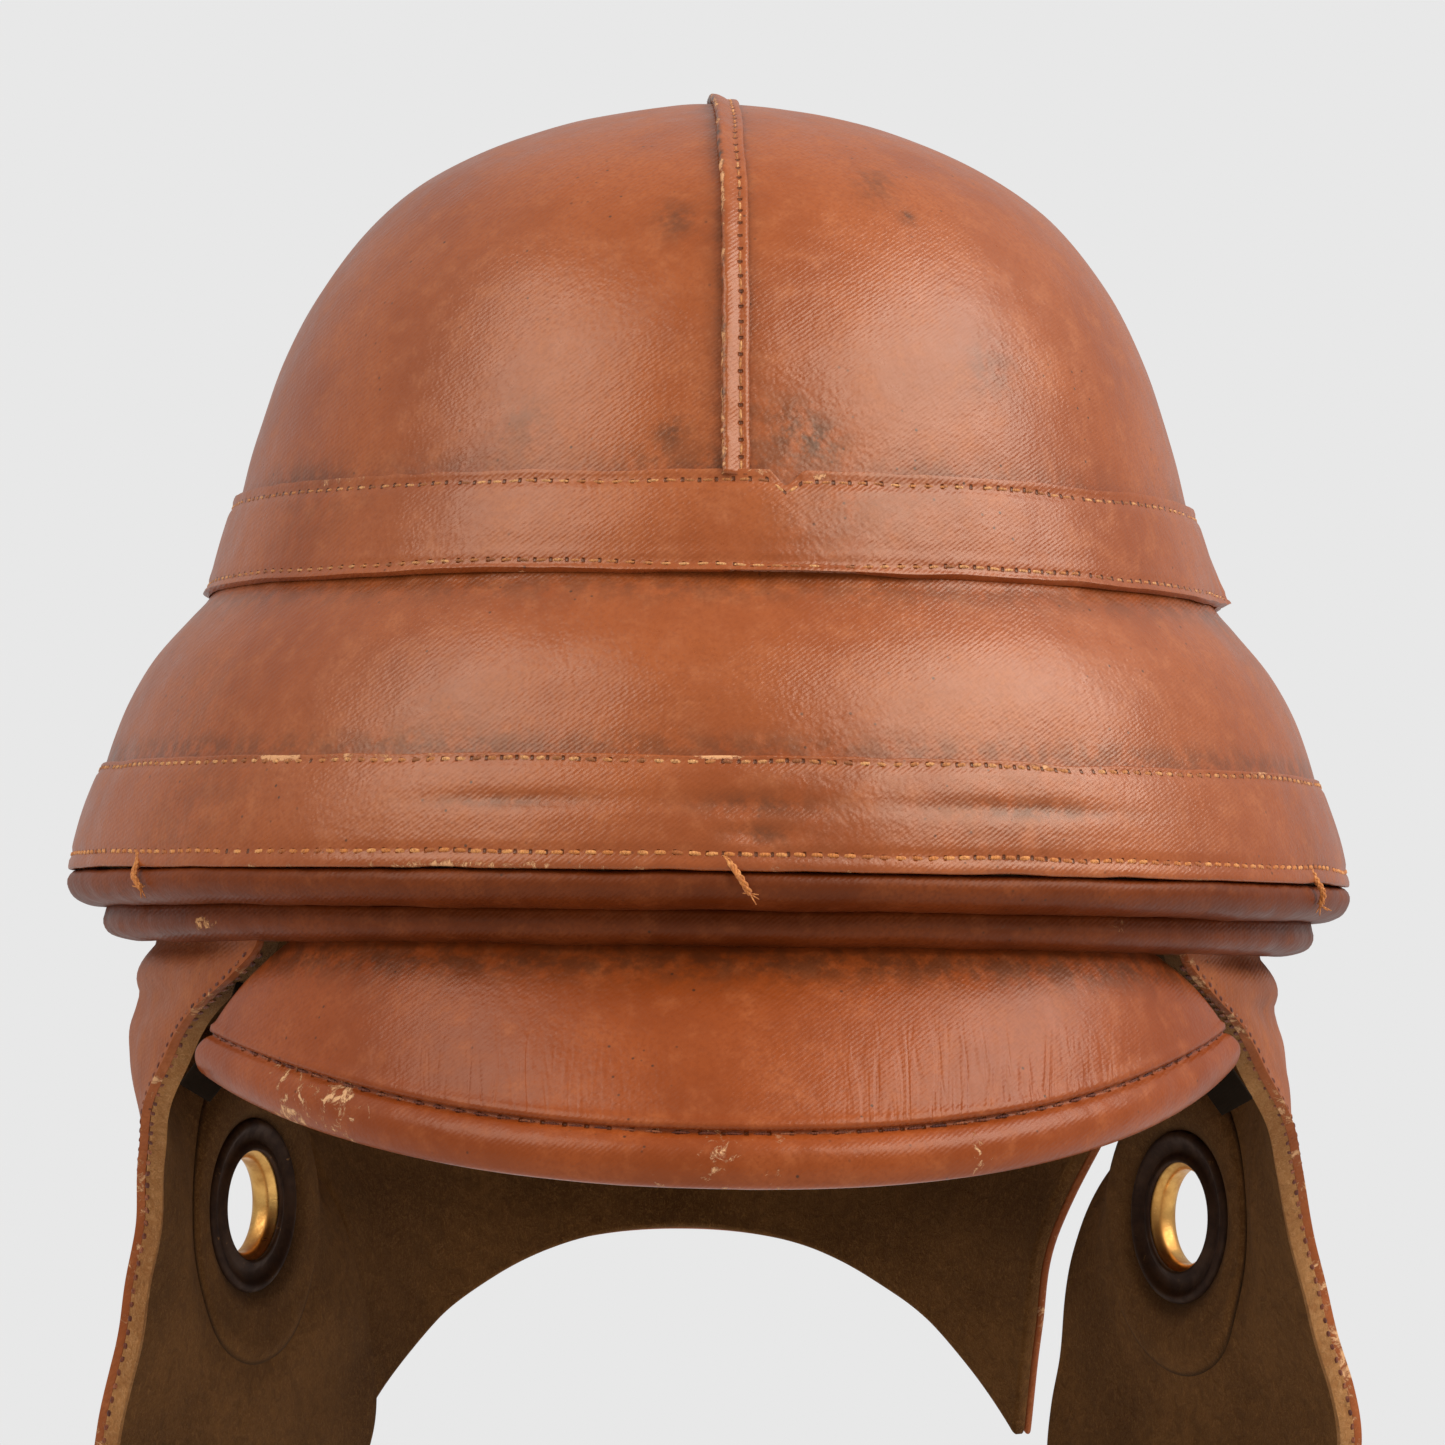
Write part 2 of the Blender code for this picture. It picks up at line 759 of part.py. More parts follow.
def raw_flap_point(across, height):
    """A point of the left flap's outer face: across runs from the front edge to the rear edge."""
    share = -height / FLAP_DROP
    front_x, front_y, rear_x, rear_y, oval = read_row(FLAP_ROW_SHARES, share)
    puff = read_row(PUFF_SHARES, share)[0]
    wide, long = curtain_half_width(), half_length(curtain_half_width())
    start, end = math.atan2(front_y, front_x), math.atan2(rear_y, rear_x)
    swell = math.hypot(front_x, front_y) * (1 - across) + math.hypot(rear_x, rear_y) * across
    swell = swell * oval + (1 - oval)
    angle = start + (end - start) * across
    curved = Vector((wide * swell * puff * math.cos(angle), long * swell * puff * math.sin(angle), height))
    front = Vector((wide * front_x, long * front_y, height))
    rear = Vector((wide * rear_x, long * rear_y, height))
    return front.lerp(rear, across).lerp(curved, oval)


def slope(surface, across, height, step=SLOPE_SHARE):
    """Unit normal of a surface, pointing away from the head."""
    drop = FLAP_DROP * step
    along = surface(across + step, height) - surface(across - step, height)
    down = surface(across, height - drop) - surface(across, height + drop)
    return down.cross(along).normalized()


def ear_centre():
    return raw_flap_point(EAR_HOLE_ALONG_SHARE, EAR_HOLE_HEIGHT)


def ear_normal():
    return slope(raw_flap_point, EAR_HOLE_ALONG_SHARE, EAR_HOLE_HEIGHT, EAR_SLOPE_SHARE)


def flap_point(across, height):
    """The flap's outer face, pressed flat round the ear hole."""
    raw = raw_flap_point(across, height)
    centre, normal = ear_centre(), ear_normal()
    away = raw - centre
    level = away.dot(normal)
    distance = (away - normal * level).length
    fade = min(max((distance - FLAT_RADIUS) / FLAT_FADE, 0.0), 1.0)
    keep = fade * fade * (3 - 2 * fade)
    return raw - normal * level * (1 - keep)


def nape_point(across, height):
    """A point of the nape curtain's outer face: across runs from the left edge to the right edge."""
    share = -height / NAPE_SIDE_DROP
    wide_share, long_share, edge = read_row(NAPE_ROW_SHARES, share)
    angle = math.radians(edge) * (1 - across) + math.radians(180 - edge) * across
    wide, long = curtain_half_width() * wide_share, half_length(curtain_half_width()) * long_share
    return Vector((wide * math.cos(angle), long * math.sin(angle), height))


def sheet(name, surface, rows, columns, lines, depth, thickness, finish):
    """A hanging sheet whose outer face lies a depth below a surface.

    The lines give the height of its rows at a share across: the top edge, the line that the rows are
    spaced from, and the foot.
    """
    top, head, foot = lines
    bm = bmesh.new()
    grid = []
    for row in range(rows + 1):
        line = []
        for column in range(columns + 1):
            across = column / columns
            height = head(across) + (foot(across) - head(across)) * row / rows
            line.append(bm.verts.new(surface(across, height) - slope(surface, across, height) * depth))
        grid.append(line)
    for column, (first, second) in enumerate(zip(grid[0], grid[1])):
        share = (first.co.z - top(column / columns)) / (first.co.z - second.co.z)
        first.co = first.co.lerp(second.co, max(share, 0.0))
    bridge(bm, grid)
    return thicken(place(name, bm, finish), thickness, even=False)


def level(height):
    return lambda across: height


def flap_layers():
    """Name, depth below the outer face, thickness and finish of the leather and the felt."""
    return (
        ("leather", 0.0, CURTAIN_LEATHER, "tan_leather"),
        ("lining", CURTAIN_LEATHER + SHEET_GAP, CURTAIN_FELT, "lining_felt"),
    )


def flap_top(inner_depth):
    """The line below the crease that stays clear of the root when the flap swings inwards."""
    rise = math.tan(math.radians(FLAP_INWARD_DEGREES))

    def line(across):
        point = raw_flap_point(across, -CREASE_DROP)
        inboard = curtain_half_width() - point.x + inner_depth
        overhang = inner_depth * abs(slope(raw_flap_point, across, point.z).z)
        return point.z - CLEARANCE * 3 - rise * inboard - overhang

    return line


def ear_holes():
    """Cutters along the ear holes' axes."""
    bm = bmesh.new()
    depth = (CURTAIN_LEATHER + CURTAIN_FELT + PATCH_THICKNESS + CUT_OVERRUN) * 2
    rod(bm, GROMMET_BORE_RADIUS + GROMMET_WALL + CLEARANCE, depth, GROMMET_SEGMENTS)
    return cutters("ear_hole", bm, ear_matrix())


def ear_matrix():
    """Z points out of the ear hole, Y upwards."""
    out = ear_normal()
    across = Vector((0, 0, 1)).cross(out).normalized()
    up = out.cross(across)
    turn = Matrix((across, up, out)).transposed().to_4x4()
    return Matrix.Translation(ear_centre()) @ turn


def flap_lines(depth):
    """Row lines of a sheet on the flap: all sheets share their rows, so that they lie face to face."""
    return flap_top(depth), flap_top(0.0), level(-FLAP_DROP)


def trimmed(name, depth, thickness, finish, shapes):
    """A piece on each flap that follows it as far as the shape on its side reaches."""
    left = sheet(name + "_left", flap_point, FLAP_ROWS, FLAP_COLUMNS,
                 flap_lines(depth), depth, thickness, finish)
    right = mirrored_copy(left, name + "_right")
    for part, shape in zip((left, right), shapes):
        combine(part, shape, "INTERSECT")
    return left, right


def patch_depth():
    return CURTAIN_LEATHER + CURTAIN_FELT + SHEET_GAP * 3


def ear_patches(holes):
    """A felt patch on the lining round each ear hole, longer below it."""
    depth = patch_depth()
    reach = (depth + PATCH_THICKNESS + CUT_OVERRUN) * 2
    bm = bmesh.new()
    oval = Matrix.Diagonal((PATCH_HALF_WIDTH, PATCH_HALF_HEIGHT, reach, 1))
    rod(bm, 1, 1, PATCH_SIDES, Matrix.Translation((0, -PATCH_DROP, 0)) @ oval)
    shapes = cutters("ear_patch_outline", bm, ear_matrix())
    patches = trimmed("ear_patch", depth, PATCH_THICKNESS, "lining_felt", shapes)
    for patch, hole in zip(patches, holes):
        combine(patch, hole, "DIFFERENCE")
    return patches


def turned(name, profile, finish, matrix):
    """A closed profile at +X turned about Z."""
    bm = bmesh.new()
    points = [bm.verts.new((radius, 0, height)) for radius, height in profile]
    for near, far in zip(points, points[1:] + points[:1]):
        bm.edges.new((near, far))
    mesh = bpy.data.meshes.new(name)
    bm.to_mesh(mesh)
    bm.free()
    made = bpy.data.objects.new(name, mesh)
    HELMET.objects.link(made)
    made.data.materials.append(material(finish))
    made.matrix_world = matrix
    spin = made.modifiers.new("turn", "SCREW")
    spin.axis = "Z"
    spin.angle = math.tau
    spin.steps = GROMMET_SEGMENTS
    spin.render_steps = GROMMET_SEGMENTS
    spin.use_merge_vertices = True
    spin.merge_threshold = MERGE_DISTANCE
    return made


def ear_fittings():
    bore, tube = GROMMET_BORE_RADIUS, GROMMET_BORE_RADIUS + GROMMET_WALL
    depth = patch_depth() + PATCH_THICKNESS
    face = CLEARANCE
    end = -depth - CLEARANCE * 2 - WASHER_THICKNESS
    grommet = (
        (GROMMET_FLANGE_RADIUS, face + GROMMET_FLANGE),
        (GROMMET_FLANGE_RADIUS, face),
        (tube, face),
        (tube, end),
        (bore, end),
        (bore, face + GROMMET_FLANGE),
    )
    washer = (
        (GROMMET_FLANGE_RADIUS, -depth - CLEARANCE),
        (GROMMET_FLANGE_RADIUS, end),
        (tube + CLEARANCE, end),
        (tube + CLEARANCE, -depth - CLEARANCE),
    )
    made = []
    for side, mirror in (("left", 1), ("right", -1)):
        matrix = side_matrix(ear_matrix(), mirror)
        made.append((turned(f"ear_grommet_{side}", grommet, "brass", matrix),
                     turned(f"ear_grommet_washer_{side}", washer, "brown_enamel", matrix)))
    return made


def side_matrix(matrix, mirror):
    """A left side placement, or its mirror image turned so that it stays right-handed."""
    if mirror == 1:
        return matrix
    flip = Matrix.Scale(-1, 4, Vector((1, 0, 0)))
    return flip @ matrix @ flip


def flap_roots():
    """The upright part of each flap, sewn in under the inner roll."""
    lines = level(curtain_top()), level(curtain_top()), level(-CREASE_DROP)
    for layer, depth, thickness, finish in flap_layers():
        root = sheet(f"flap_root_{layer}_left", flap_point, ROOT_ROWS, FLAP_COLUMNS,
                     lines, depth, thickness, finish)
        mirrored_copy(root, f"flap_root_{layer}_right")


def crease(mirror):
    """The line that a flap swings on, along Y."""
    return side_matrix(Matrix.Translation((curtain_half_width(), 0, -CREASE_DROP)), mirror)


def ear_flaps():
    """Both flaps with their ear fittings, each on its crease, and the empties that carry them."""
    holes = ear_holes()
    pairs = []
    for layer, depth, thickness, finish in flap_layers():
        left = sheet(f"ear_flap_{layer}_left", flap_point, FLAP_ROWS, FLAP_COLUMNS,
                     flap_lines(depth + thickness), depth, thickness, finish)
        pairs.append((left, mirrored_copy(left, f"ear_flap_{layer}_right")))
    for pair in pairs:
        for part, hole in zip(pair, holes):
            combine(part, hole, "DIFFERENCE")
    pairs += [ear_patches(holes), tabs(), *zip(*ear_fittings())]
    creases = hinge("crease_left", crease(1)), hinge("crease_right", crease(-1))
    for carrier, parts in zip(creases, zip(*pairs)):
        hang(carrier, *parts)
    return creases


def nape_foot(across):
    drop = NAPE_CENTRE_DROP + (NAPE_SIDE_DROP - NAPE_CENTRE_DROP) * abs(2 * across - 1) ** NAPE_ARCH_POWER
    return -drop


def nape_curtain():
    lines = level(curtain_top()), level(curtain_top()), nape_foot
    for layer, depth, thickness, finish in flap_layers():
        sheet(f"nape_curtain_{layer}", nape_point, NAPE_ROWS, NAPE_COLUMNS, lines, depth, thickness, finish)


# Peak


def peak_face():
    """Distance from the board's middle to the leather's outer face."""
    return PEAK_BOARD_THICKNESS / 2 + CLEARANCE * 2 + PEAK_LEATHER


def peak_ends(across):
    """Root and edge of the board's middle surface, across from -1, the right end, to 1, the left end."""
    root_turn = math.radians(PEAK_ROOT_DEGREES) * across
    edge_turn = math.radians(PEAK_TIP_DEGREES) * across
    wide = inner_roll()["out"] - PEAK_ROOT_INSET
    long = half_length(wide)
    root = Vector((wide * math.sin(root_turn), -long * math.cos(root_turn), roll_foot(inner_roll())))
    side = abs(across)
    reach = PEAK_FRONT_LENGTH + (PEAK_SIDE_LENGTH - PEAK_FRONT_LENGTH) * side**PEAK_LENGTH_POWER
    drop = PEAK_FRONT_DROP + (PEAK_SIDE_DROP - PEAK_FRONT_DROP) * side**PEAK_DROP_POWER
    tip = wide + PEAK_TIP_SPREAD
    edge = Vector((tip * math.sin(edge_turn), -(long + reach) * math.cos(edge_turn), -drop))
    root.z -= CLEARANCE + peak_face() * (edge - root).normalized().to_2d().length
    return root, edge


def peak_station(across):
    """Root, direction to the edge, upward normal and length at a station."""
    root, edge = peak_ends(across)
    near, far = peak_ends(across - SLOPE_SHARE), peak_ends(across + SLOPE_SHARE)
    along = (far[0] - near[0]).lerp(far[1] - near[1], 1 / 2)
    out = (edge - root).normalized()
    up = along.cross(out).normalized()
    return root, out, up if up.z > 0 else -up, (edge - root).length


def peak_layer(name, section, finish):
    """A closed section, as distance from the root and offset from the middle surface, along the peak."""
    bm = bmesh.new()
    rows = []
    for index in range(PEAK_STATIONS + 1):
        across = 2 * index / PEAK_STATIONS - 1
        root, out, up, length = peak_station(across)
        row = []
        for distance, offset in section(length):
            camber = 4 * PEAK_CAMBER * (distance / length) * (1 - distance / length)
            row.append(bm.verts.new(root + out * distance + up * (offset + camber)))
        rows.append(row + row[:1])
    bridge(bm, rows)
    bm.faces.new(rows[0][:-1])
    bm.faces.new(list(reversed(rows[-1][:-1])))
    place(name, bm, finish)


def peak():
    half = PEAK_BOARD_THICKNESS / 2
    top = peak_face() - PEAK_LEATHER
    inner_bead = PEAK_BEAD_HALF_THICKNESS - PEAK_LEATHER - CLEARANCE * 2

    def spread(stitch):
        return 0, stitch / 3, stitch * 2 / 3, stitch

    def board(length):
        stitch = length - PEAK_BINDING_WIDTH
        tip = length - PEAK_LEATHER - CLEARANCE
        upper = [(at, half) for at in spread(stitch)]
        upper += [(stitch + inner_bead, inner_bead), (tip - inner_bead, inner_bead)]
        return upper + [(tip, 0)] + [(at, -offset) for at, offset in reversed(upper)]

    def face(length, near, far):
        distances = *spread(length - PEAK_BINDING_WIDTH)[:-1], length - PEAK_BINDING_WIDTH - CLEARANCE
        return [(at, far) for at in distances] + [(at, near) for at in reversed(distances)]

    def cover(length):
        return face(length, top, top + PEAK_LEATHER)

    def under(length):
        return face(length, -top, -top - PEAK_LINING)

    def binding(length):
        """A strip folded round the edge: its outer face there and back, then its inner face."""
        stitch = length - PEAK_BINDING_WIDTH
        bead = PEAK_BEAD_HALF_THICKNESS
        hollow = inner_bead + CLEARANCE * 2
        outer = [(stitch, top + PEAK_LEATHER), (stitch + bead, bead), (length - bead, bead)]
        outer += [(length - bead / 4, bead / 2)]
        inner = [(stitch, top), (stitch + inner_bead, hollow), (length - PEAK_LEATHER - inner_bead, hollow)]
        there = outer + [(length, 0)] + [(at, -offset) for at, offset in reversed(outer)]
        back = inner + [(length - PEAK_LEATHER, 0)] + [(at, -offset) for at, offset in reversed(inner)]
        return there + list(reversed(back))

    peak_layer("peak_board", board, "fibre_board")
    peak_layer("peak_top_leather", cover, "tan_leather")
    peak_layer("peak_under_lining", under, "black_lining")
    peak_layer("peak_binding", binding, "tan_leather")


# Chin strap and buckle


def tip_matrix(mirror):
    """Middle of the flap's hem: X along the hem, Y out of the flap, Z up."""
    middle = flap_point(1 / 2, -FLAP_DROP)
    along = (flap_point(1, -FLAP_DROP) - flap_point(0, -FLAP_DROP)).normalized()
    up = Vector((0, 0, 1))
    out = up.cross(along).normalized()
    if out.x < 0:
        along, out = -along, -out
    turn = Matrix((along, out, up)).transposed().to_4x4()
    return side_matrix(Matrix.Translation(middle) @ turn, mirror)


def strap_axis(mirror):
    """The line that a strap swings on, just below the hem and between leather and felt."""
    middle = -(CURTAIN_LEATHER + SHEET_GAP + CURTAIN_FELT) / 2
    drop = max(STRAP_THICKNESS / 2, CHAPE_LEATHER) + CLEARANCE
    return tip_matrix(mirror) @ Matrix.Translation((0, middle, -drop))


def tabs():
    """The leather tab sewn over each flap's tip, which holds the strap or the chape."""
    bm = bmesh.new()
    slab(bm, (STRAP_WIDTH, TAB_HEIGHT, TAB_HEIGHT + CUT_OVERRUN), (0, 0, (TAB_HEIGHT - CUT_OVERRUN) / 2))
    shapes = cutters("strap_tab_outline", bm, tip_matrix(1))
    return trimmed("strap_tab", -CLEARANCE - TAB_THICKNESS, TAB_THICKNESS, "strap_leather", shapes)


def chin_strap():
    half = STRAP_WIDTH / 2
    shoulder = STRAP_THICKNESS / 2
    bm = bmesh.new()
    outline = [(-half, shoulder), (half, shoulder), (half, -STRAP_LENGTH + STRAP_POINT), (0, -STRAP_LENGTH),
               (-half, -STRAP_LENGTH + STRAP_POINT)]
    front = [bm.verts.new((x, shoulder, z)) for x, z in outline]
    bm.faces.new(front)
    grown = bmesh.ops.extrude_face_region(bm, geom=bm.faces[:])
    moved = [item for item in grown["geom"] if isinstance(item, bmesh.types.BMVert)]
    bmesh.ops.translate(bm, verts=moved, vec=(0, -STRAP_THICKNESS, 0))
    round_top(bm, shoulder)
    strap = place("chin_strap", bm, "strap_leather", strap_axis(1))
    holes = bmesh.new()
    for number in range(STRAP_HOLE_COUNT):
        height = -STRAP_LENGTH + STRAP_HOLE_START + STRAP_HOLE_PITCH * number
        bore = Matrix.Translation((0, 0, height)) @ Matrix.Rotation(math.radians(90), 4, "X")
        rod(holes, STRAP_HOLE_RADIUS, STRAP_THICKNESS + CUT_OVERRUN, STRAP_HOLE_SIDES, bore)
    return combine(strap, cutter("strap_holes", holes, strap_axis(1)), "DIFFERENCE")


def round_top(bm, radius):
    """Rounds the two long edges at the top of a strap, so that it turns clear of the hem."""
    high = max(vert.co.z for vert in bm.verts)
    edges = [edge for edge in bm.edges
             if all(abs(vert.co.z - high) < CLEARANCE for vert in edge.verts)
             and abs(edge.verts[0].co.x - edge.verts[1].co.x) > radius]
    width = radius * STRAP_TOP_ROUNDING_SHARE
    bmesh.ops.bevel(bm, geom=edges, offset=width, segments=ROUND_STEPS, profile=1 / 2, affect="EDGES")


def buckle_axis():
    """The buckle's bar: X along the bar."""
    return strap_axis(-1) @ Matrix.Translation((0, 0, -CHAPE_LENGTH))


def buckle_chape():
    """A folded strap: a double stem with an eye round the buckle's bar, slotted for the prong."""
    bar = BUCKLE_WIRE_RADIUS + CLEARANCE
    stem = CHAPE_LEATHER
    outer = bar + CHAPE_LEATHER
    width = STRAP_WIDTH - CHAPE_LEATHER
    bm = bmesh.new()
    slab(bm, (width, stem * 2, CHAPE_LENGTH + stem), (0, 0, -(CHAPE_LENGTH - stem) / 2))
    round_top(bm, stem)
    chape = place("buckle_chape", bm, "strap_leather", strap_axis(-1))
    across = Matrix.Rotation(math.radians(90), 4, "Y")
    eye = bmesh.new()
    rod(eye, outer, width, BUCKLE_SIDES, across)
    combine(chape, cutter("chape_eye", eye, buckle_axis()), "UNION")
    bore = bmesh.new()
    rod(bore, bar, width + CUT_OVERRUN, BUCKLE_SIDES, across)
    combine(chape, cutter("chape_bore", bore, buckle_axis()), "DIFFERENCE")
    slot = bmesh.new()
    reach = outer + CUT_OVERRUN
    slab(slot, (CHAPE_SLOT, reach * 2, reach * 2), (0, 0, -reach + outer + CHAPE_LEATHER))
    return combine(chape, cutter("chape_slot", slot, buckle_axis()), "DIFFERENCE")


def keeper():
    """A leather loop round the chape, wide enough for the strap's end."""
    wide = STRAP_WIDTH + CLEARANCE * 2
    deep = CHAPE_LEATHER * 2 + CLEARANCE * 2 + STRAP_THICKNESS + CLEARANCE * 2
    lift = deep / 2 - CHAPE_LEATHER - CLEARANCE
    middle = Matrix.Translation((0, lift, -KEEPER_DROP - KEEPER_HEIGHT / 2))
    bm = bmesh.new()
    slab(bm, (wide + KEEPER_THICKNESS * 2, deep + KEEPER_THICKNESS * 2, KEEPER_HEIGHT), (0, 0, 0))
    loop = place("strap_keeper", bm, "strap_leather", strap_axis(-1) @ middle)
    hole = bmesh.new()
    slab(hole, (wide, deep, KEEPER_HEIGHT + CUT_OVERRUN), (0, 0, 0))
    return combine(loop, cutter("keeper_opening", hole, strap_axis(-1) @ middle), "DIFFERENCE")


def wire(name, points, radius, finish, matrix):
    """A closed ring of bent wire through points."""
    curve = bpy.data.curves.new(name, "CURVE")
    curve.dimensions = "3D"
    curve.bevel_depth = radius
    curve.bevel_resolution = WIRE_RESOLUTION
    line = curve.splines.new("POLY")
    line.points.add(len(points) - 1)
    for slot, point in zip(line.points, points):
        slot.co = (*point, 1)
    line.use_cyclic_u = True
    made = bpy.data.objects.new(name, curve)
    HELMET.objects.link(made)
    made.data.materials.append(material(finish))
    made.matrix_world = matrix
    return made


def buckle_frame():
    half, corner = BUCKLE_HALF_WIDTH, BUCKLE_CORNER
    corners = ((half, -BUCKLE_HEIGHT), (-half, -BUCKLE_HEIGHT))
    points = [Vector((half, 0, 0))]
    for number, (x, z) in enumerate(corners):
        centre = Vector((math.copysign(half - corner, x), 0, z + corner))
        for step in range(CORNER_STEPS + 1):
            angle = -math.radians(90) * (number + step / CORNER_STEPS)
            points.append(centre + Vector((corner * math.cos(angle), 0, corner * math.sin(angle))))
    points.append(Vector((-half, 0, 0)))
    return wire("buckle_frame", points, BUCKLE_WIRE_RADIUS, "brass", buckle_axis())


def prong():
    """An eye on the buckle's bar and a rod that rests on the frame's far side."""
    inner = BUCKLE_WIRE_RADIUS + CLEARANCE
    outer = inner + PRONG_EYE_WALL
    rest = BUCKLE_WIRE_RADIUS + PRONG_RADIUS + CLEARANCE
    lean = math.asin(rest / BUCKLE_HEIGHT)
    across = Matrix.Rotation(math.radians(90), 4, "Y")
    bm = bmesh.new()
    rod(bm, outer, PRONG_EYE_WIDTH, BUCKLE_SIDES, across)
    made = place("buckle_prong", bm, "brass", buckle_axis())
    stem = bmesh.new()
    length = BUCKLE_HEIGHT + PRONG_RADIUS
    shift = Matrix.Translation((0, 0, -(length + inner) / 2))
    tilt = Matrix.Rotation(lean, 4, "X")
    rod(stem, PRONG_RADIUS, length - inner, BUCKLE_SIDES, tilt @ shift)
    combine(made, cutter("prong_stem", stem, buckle_axis()), "UNION")
    bore = bmesh.new()
    rod(bore, inner, PRONG_EYE_WIDTH + CUT_OVERRUN, BUCKLE_SIDES, across)
    return combine(made, cutter("prong_bore", bore, buckle_axis()), "DIFFERENCE")


def build():
    crown_shell()
    crown_leathers()
    welt()
    band("crown_band", crown_band_outline())
    bell()
    band("brim_band", brim_band_outline())
    spacer()
    facing()
    rolls()
    liner()
    sweatband()
    head_cradle()
    crown_pad()
    flap_roots()
    nape_curtain()
    peak()
    left_crease, right_crease = ear_flaps()
    hang(left_crease, chin_strap())
    chape, frame = buckle_chape(), buckle_frame()
    hang(right_crease, chape)
    hang(chape, keeper(), frame)
    hang(frame, prong())


build()
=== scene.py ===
import math
import random
from contextlib import contextmanager

import bmesh
import bpy
from mathutils import Matrix, Vector, noise


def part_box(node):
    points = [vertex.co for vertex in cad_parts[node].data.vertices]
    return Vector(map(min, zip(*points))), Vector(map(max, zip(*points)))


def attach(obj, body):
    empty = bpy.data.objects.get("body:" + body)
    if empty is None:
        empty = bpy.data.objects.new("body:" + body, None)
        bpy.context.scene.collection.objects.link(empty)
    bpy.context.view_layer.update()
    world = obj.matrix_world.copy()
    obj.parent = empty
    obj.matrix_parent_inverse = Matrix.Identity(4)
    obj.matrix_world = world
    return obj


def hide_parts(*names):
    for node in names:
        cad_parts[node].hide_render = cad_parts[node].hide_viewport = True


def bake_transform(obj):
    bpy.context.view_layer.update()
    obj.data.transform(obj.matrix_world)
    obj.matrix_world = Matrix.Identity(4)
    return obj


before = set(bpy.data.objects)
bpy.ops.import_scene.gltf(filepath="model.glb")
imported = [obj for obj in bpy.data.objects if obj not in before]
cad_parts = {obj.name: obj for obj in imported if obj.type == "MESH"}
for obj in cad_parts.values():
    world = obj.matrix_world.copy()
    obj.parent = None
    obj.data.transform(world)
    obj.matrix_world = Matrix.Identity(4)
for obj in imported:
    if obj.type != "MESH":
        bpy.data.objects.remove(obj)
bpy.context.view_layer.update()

# Metres, in the frame of the solids: +Z up, the wearer looks along -Y, the wearer's left is at +X
SIDES = (("left", 1), ("right", -1))
FRONT = -math.pi / 2

# Driving sizes: most are the solids' own, and the rest follow the photo
CROWN_HALF_WIDTH = 0.102
LENGTH_EXCESS = 0.019
DOME_FOOT, DOME_RISE = 0.072, 0.1008
DOME_SHARES = ((1.0, 0.0), (0.961, 0.143), (0.922, 0.30), (0.868, 0.468), (0.790, 0.622), (0.678, 0.762),
               (0.535, 0.866), (0.355, 0.943), (0.170, 0.986), (0.0, 1.0))
CROWN_SKIN_FOOT, SEAM_FOOT, SEAM_GAP = 0.0765, 0.0892, 0.0007
BELL_TOP, BELL_FOOT = 0.0755, 0.0155
BELL_NECK, BELL_FLARE = 0.10103, 0.0283
BELL_SHARES = ((0.0, 1.0), (0.064, 0.917), (0.201, 0.842), (0.442, 0.705), (0.611, 0.568), (0.728, 0.432),
               (0.820, 0.292), (0.905, 0.158), (1.0, 0.0))
CROWN_STRIP_TOP, CROWN_STRIP_FOOT = 0.091, 0.0705
BRIM_STRIP_TOP, BRIM_STRIP_FOOT = 0.0362, 0.0147
STRIP_LIFT = 0.0012
STRIP_THICKNESS = 0.0014
SKIN_THICKNESS = 0.0013
INNER_ROLL_HALF_WIDTH, INNER_ROLL_FOOT = 0.11823, 0.0008
CURTAIN_HALF_WIDTH = 0.117234
CURTAIN_TOP = 0.0022
FLAP_DROP = 0.139
# Rows of the flap: share of its drop, x and y of its front and rear edges as shares, how oval it is
FLAP_ROWS = (
    (-0.010, 0.760, -0.650, 0.908, 0.417, 1.0), (0.000, 0.763, -0.644, 0.908, 0.418, 1.0),
    (0.045, 0.806, -0.592, 0.906, 0.421, 1.0), (0.095, 0.869, -0.492, 0.902, 0.427, 1.0),
    (0.125, 0.893, -0.448, 0.896, 0.432, 0.97), (0.165, 0.911, -0.415, 0.878, 0.440, 0.85),
    (0.245, 0.945, -0.332, 0.822, 0.458, 0.50), (0.305, 0.962, -0.268, 0.770, 0.474, 0.28),
    (0.377, 0.981, -0.222, 0.712, 0.490, 0.12), (0.460, 0.997, -0.200, 0.668, 0.508, 0.04),
    (0.540, 1.010, -0.192, 0.648, 0.528, 0.0), (0.614, 1.032, -0.184, 0.638, 0.550, 0.0),
    (0.700, 1.054, -0.180, 0.632, 0.562, 0.0), (0.790, 1.058, -0.150, 0.644, 0.535, 0.0),
    (0.875, 1.040, -0.078, 0.694, 0.455, 0.0), (0.945, 0.998, 0.004, 0.768, 0.346, 0.0),
    (1.000, 0.948, 0.068, 0.846, 0.228, 0.0),
)
# How far the flap stands out, as a share of its width, by the share of its drop
PUFF_ROWS = ((-0.020, 0.960), (0.000, 0.962), (0.014, 0.975), (0.035, 0.988), (0.055, 0.990), (0.070, 0.984),
             (0.090, 0.988), (0.120, 1.000), (0.170, 1.012), (0.250, 1.016), (1.000, 1.016))
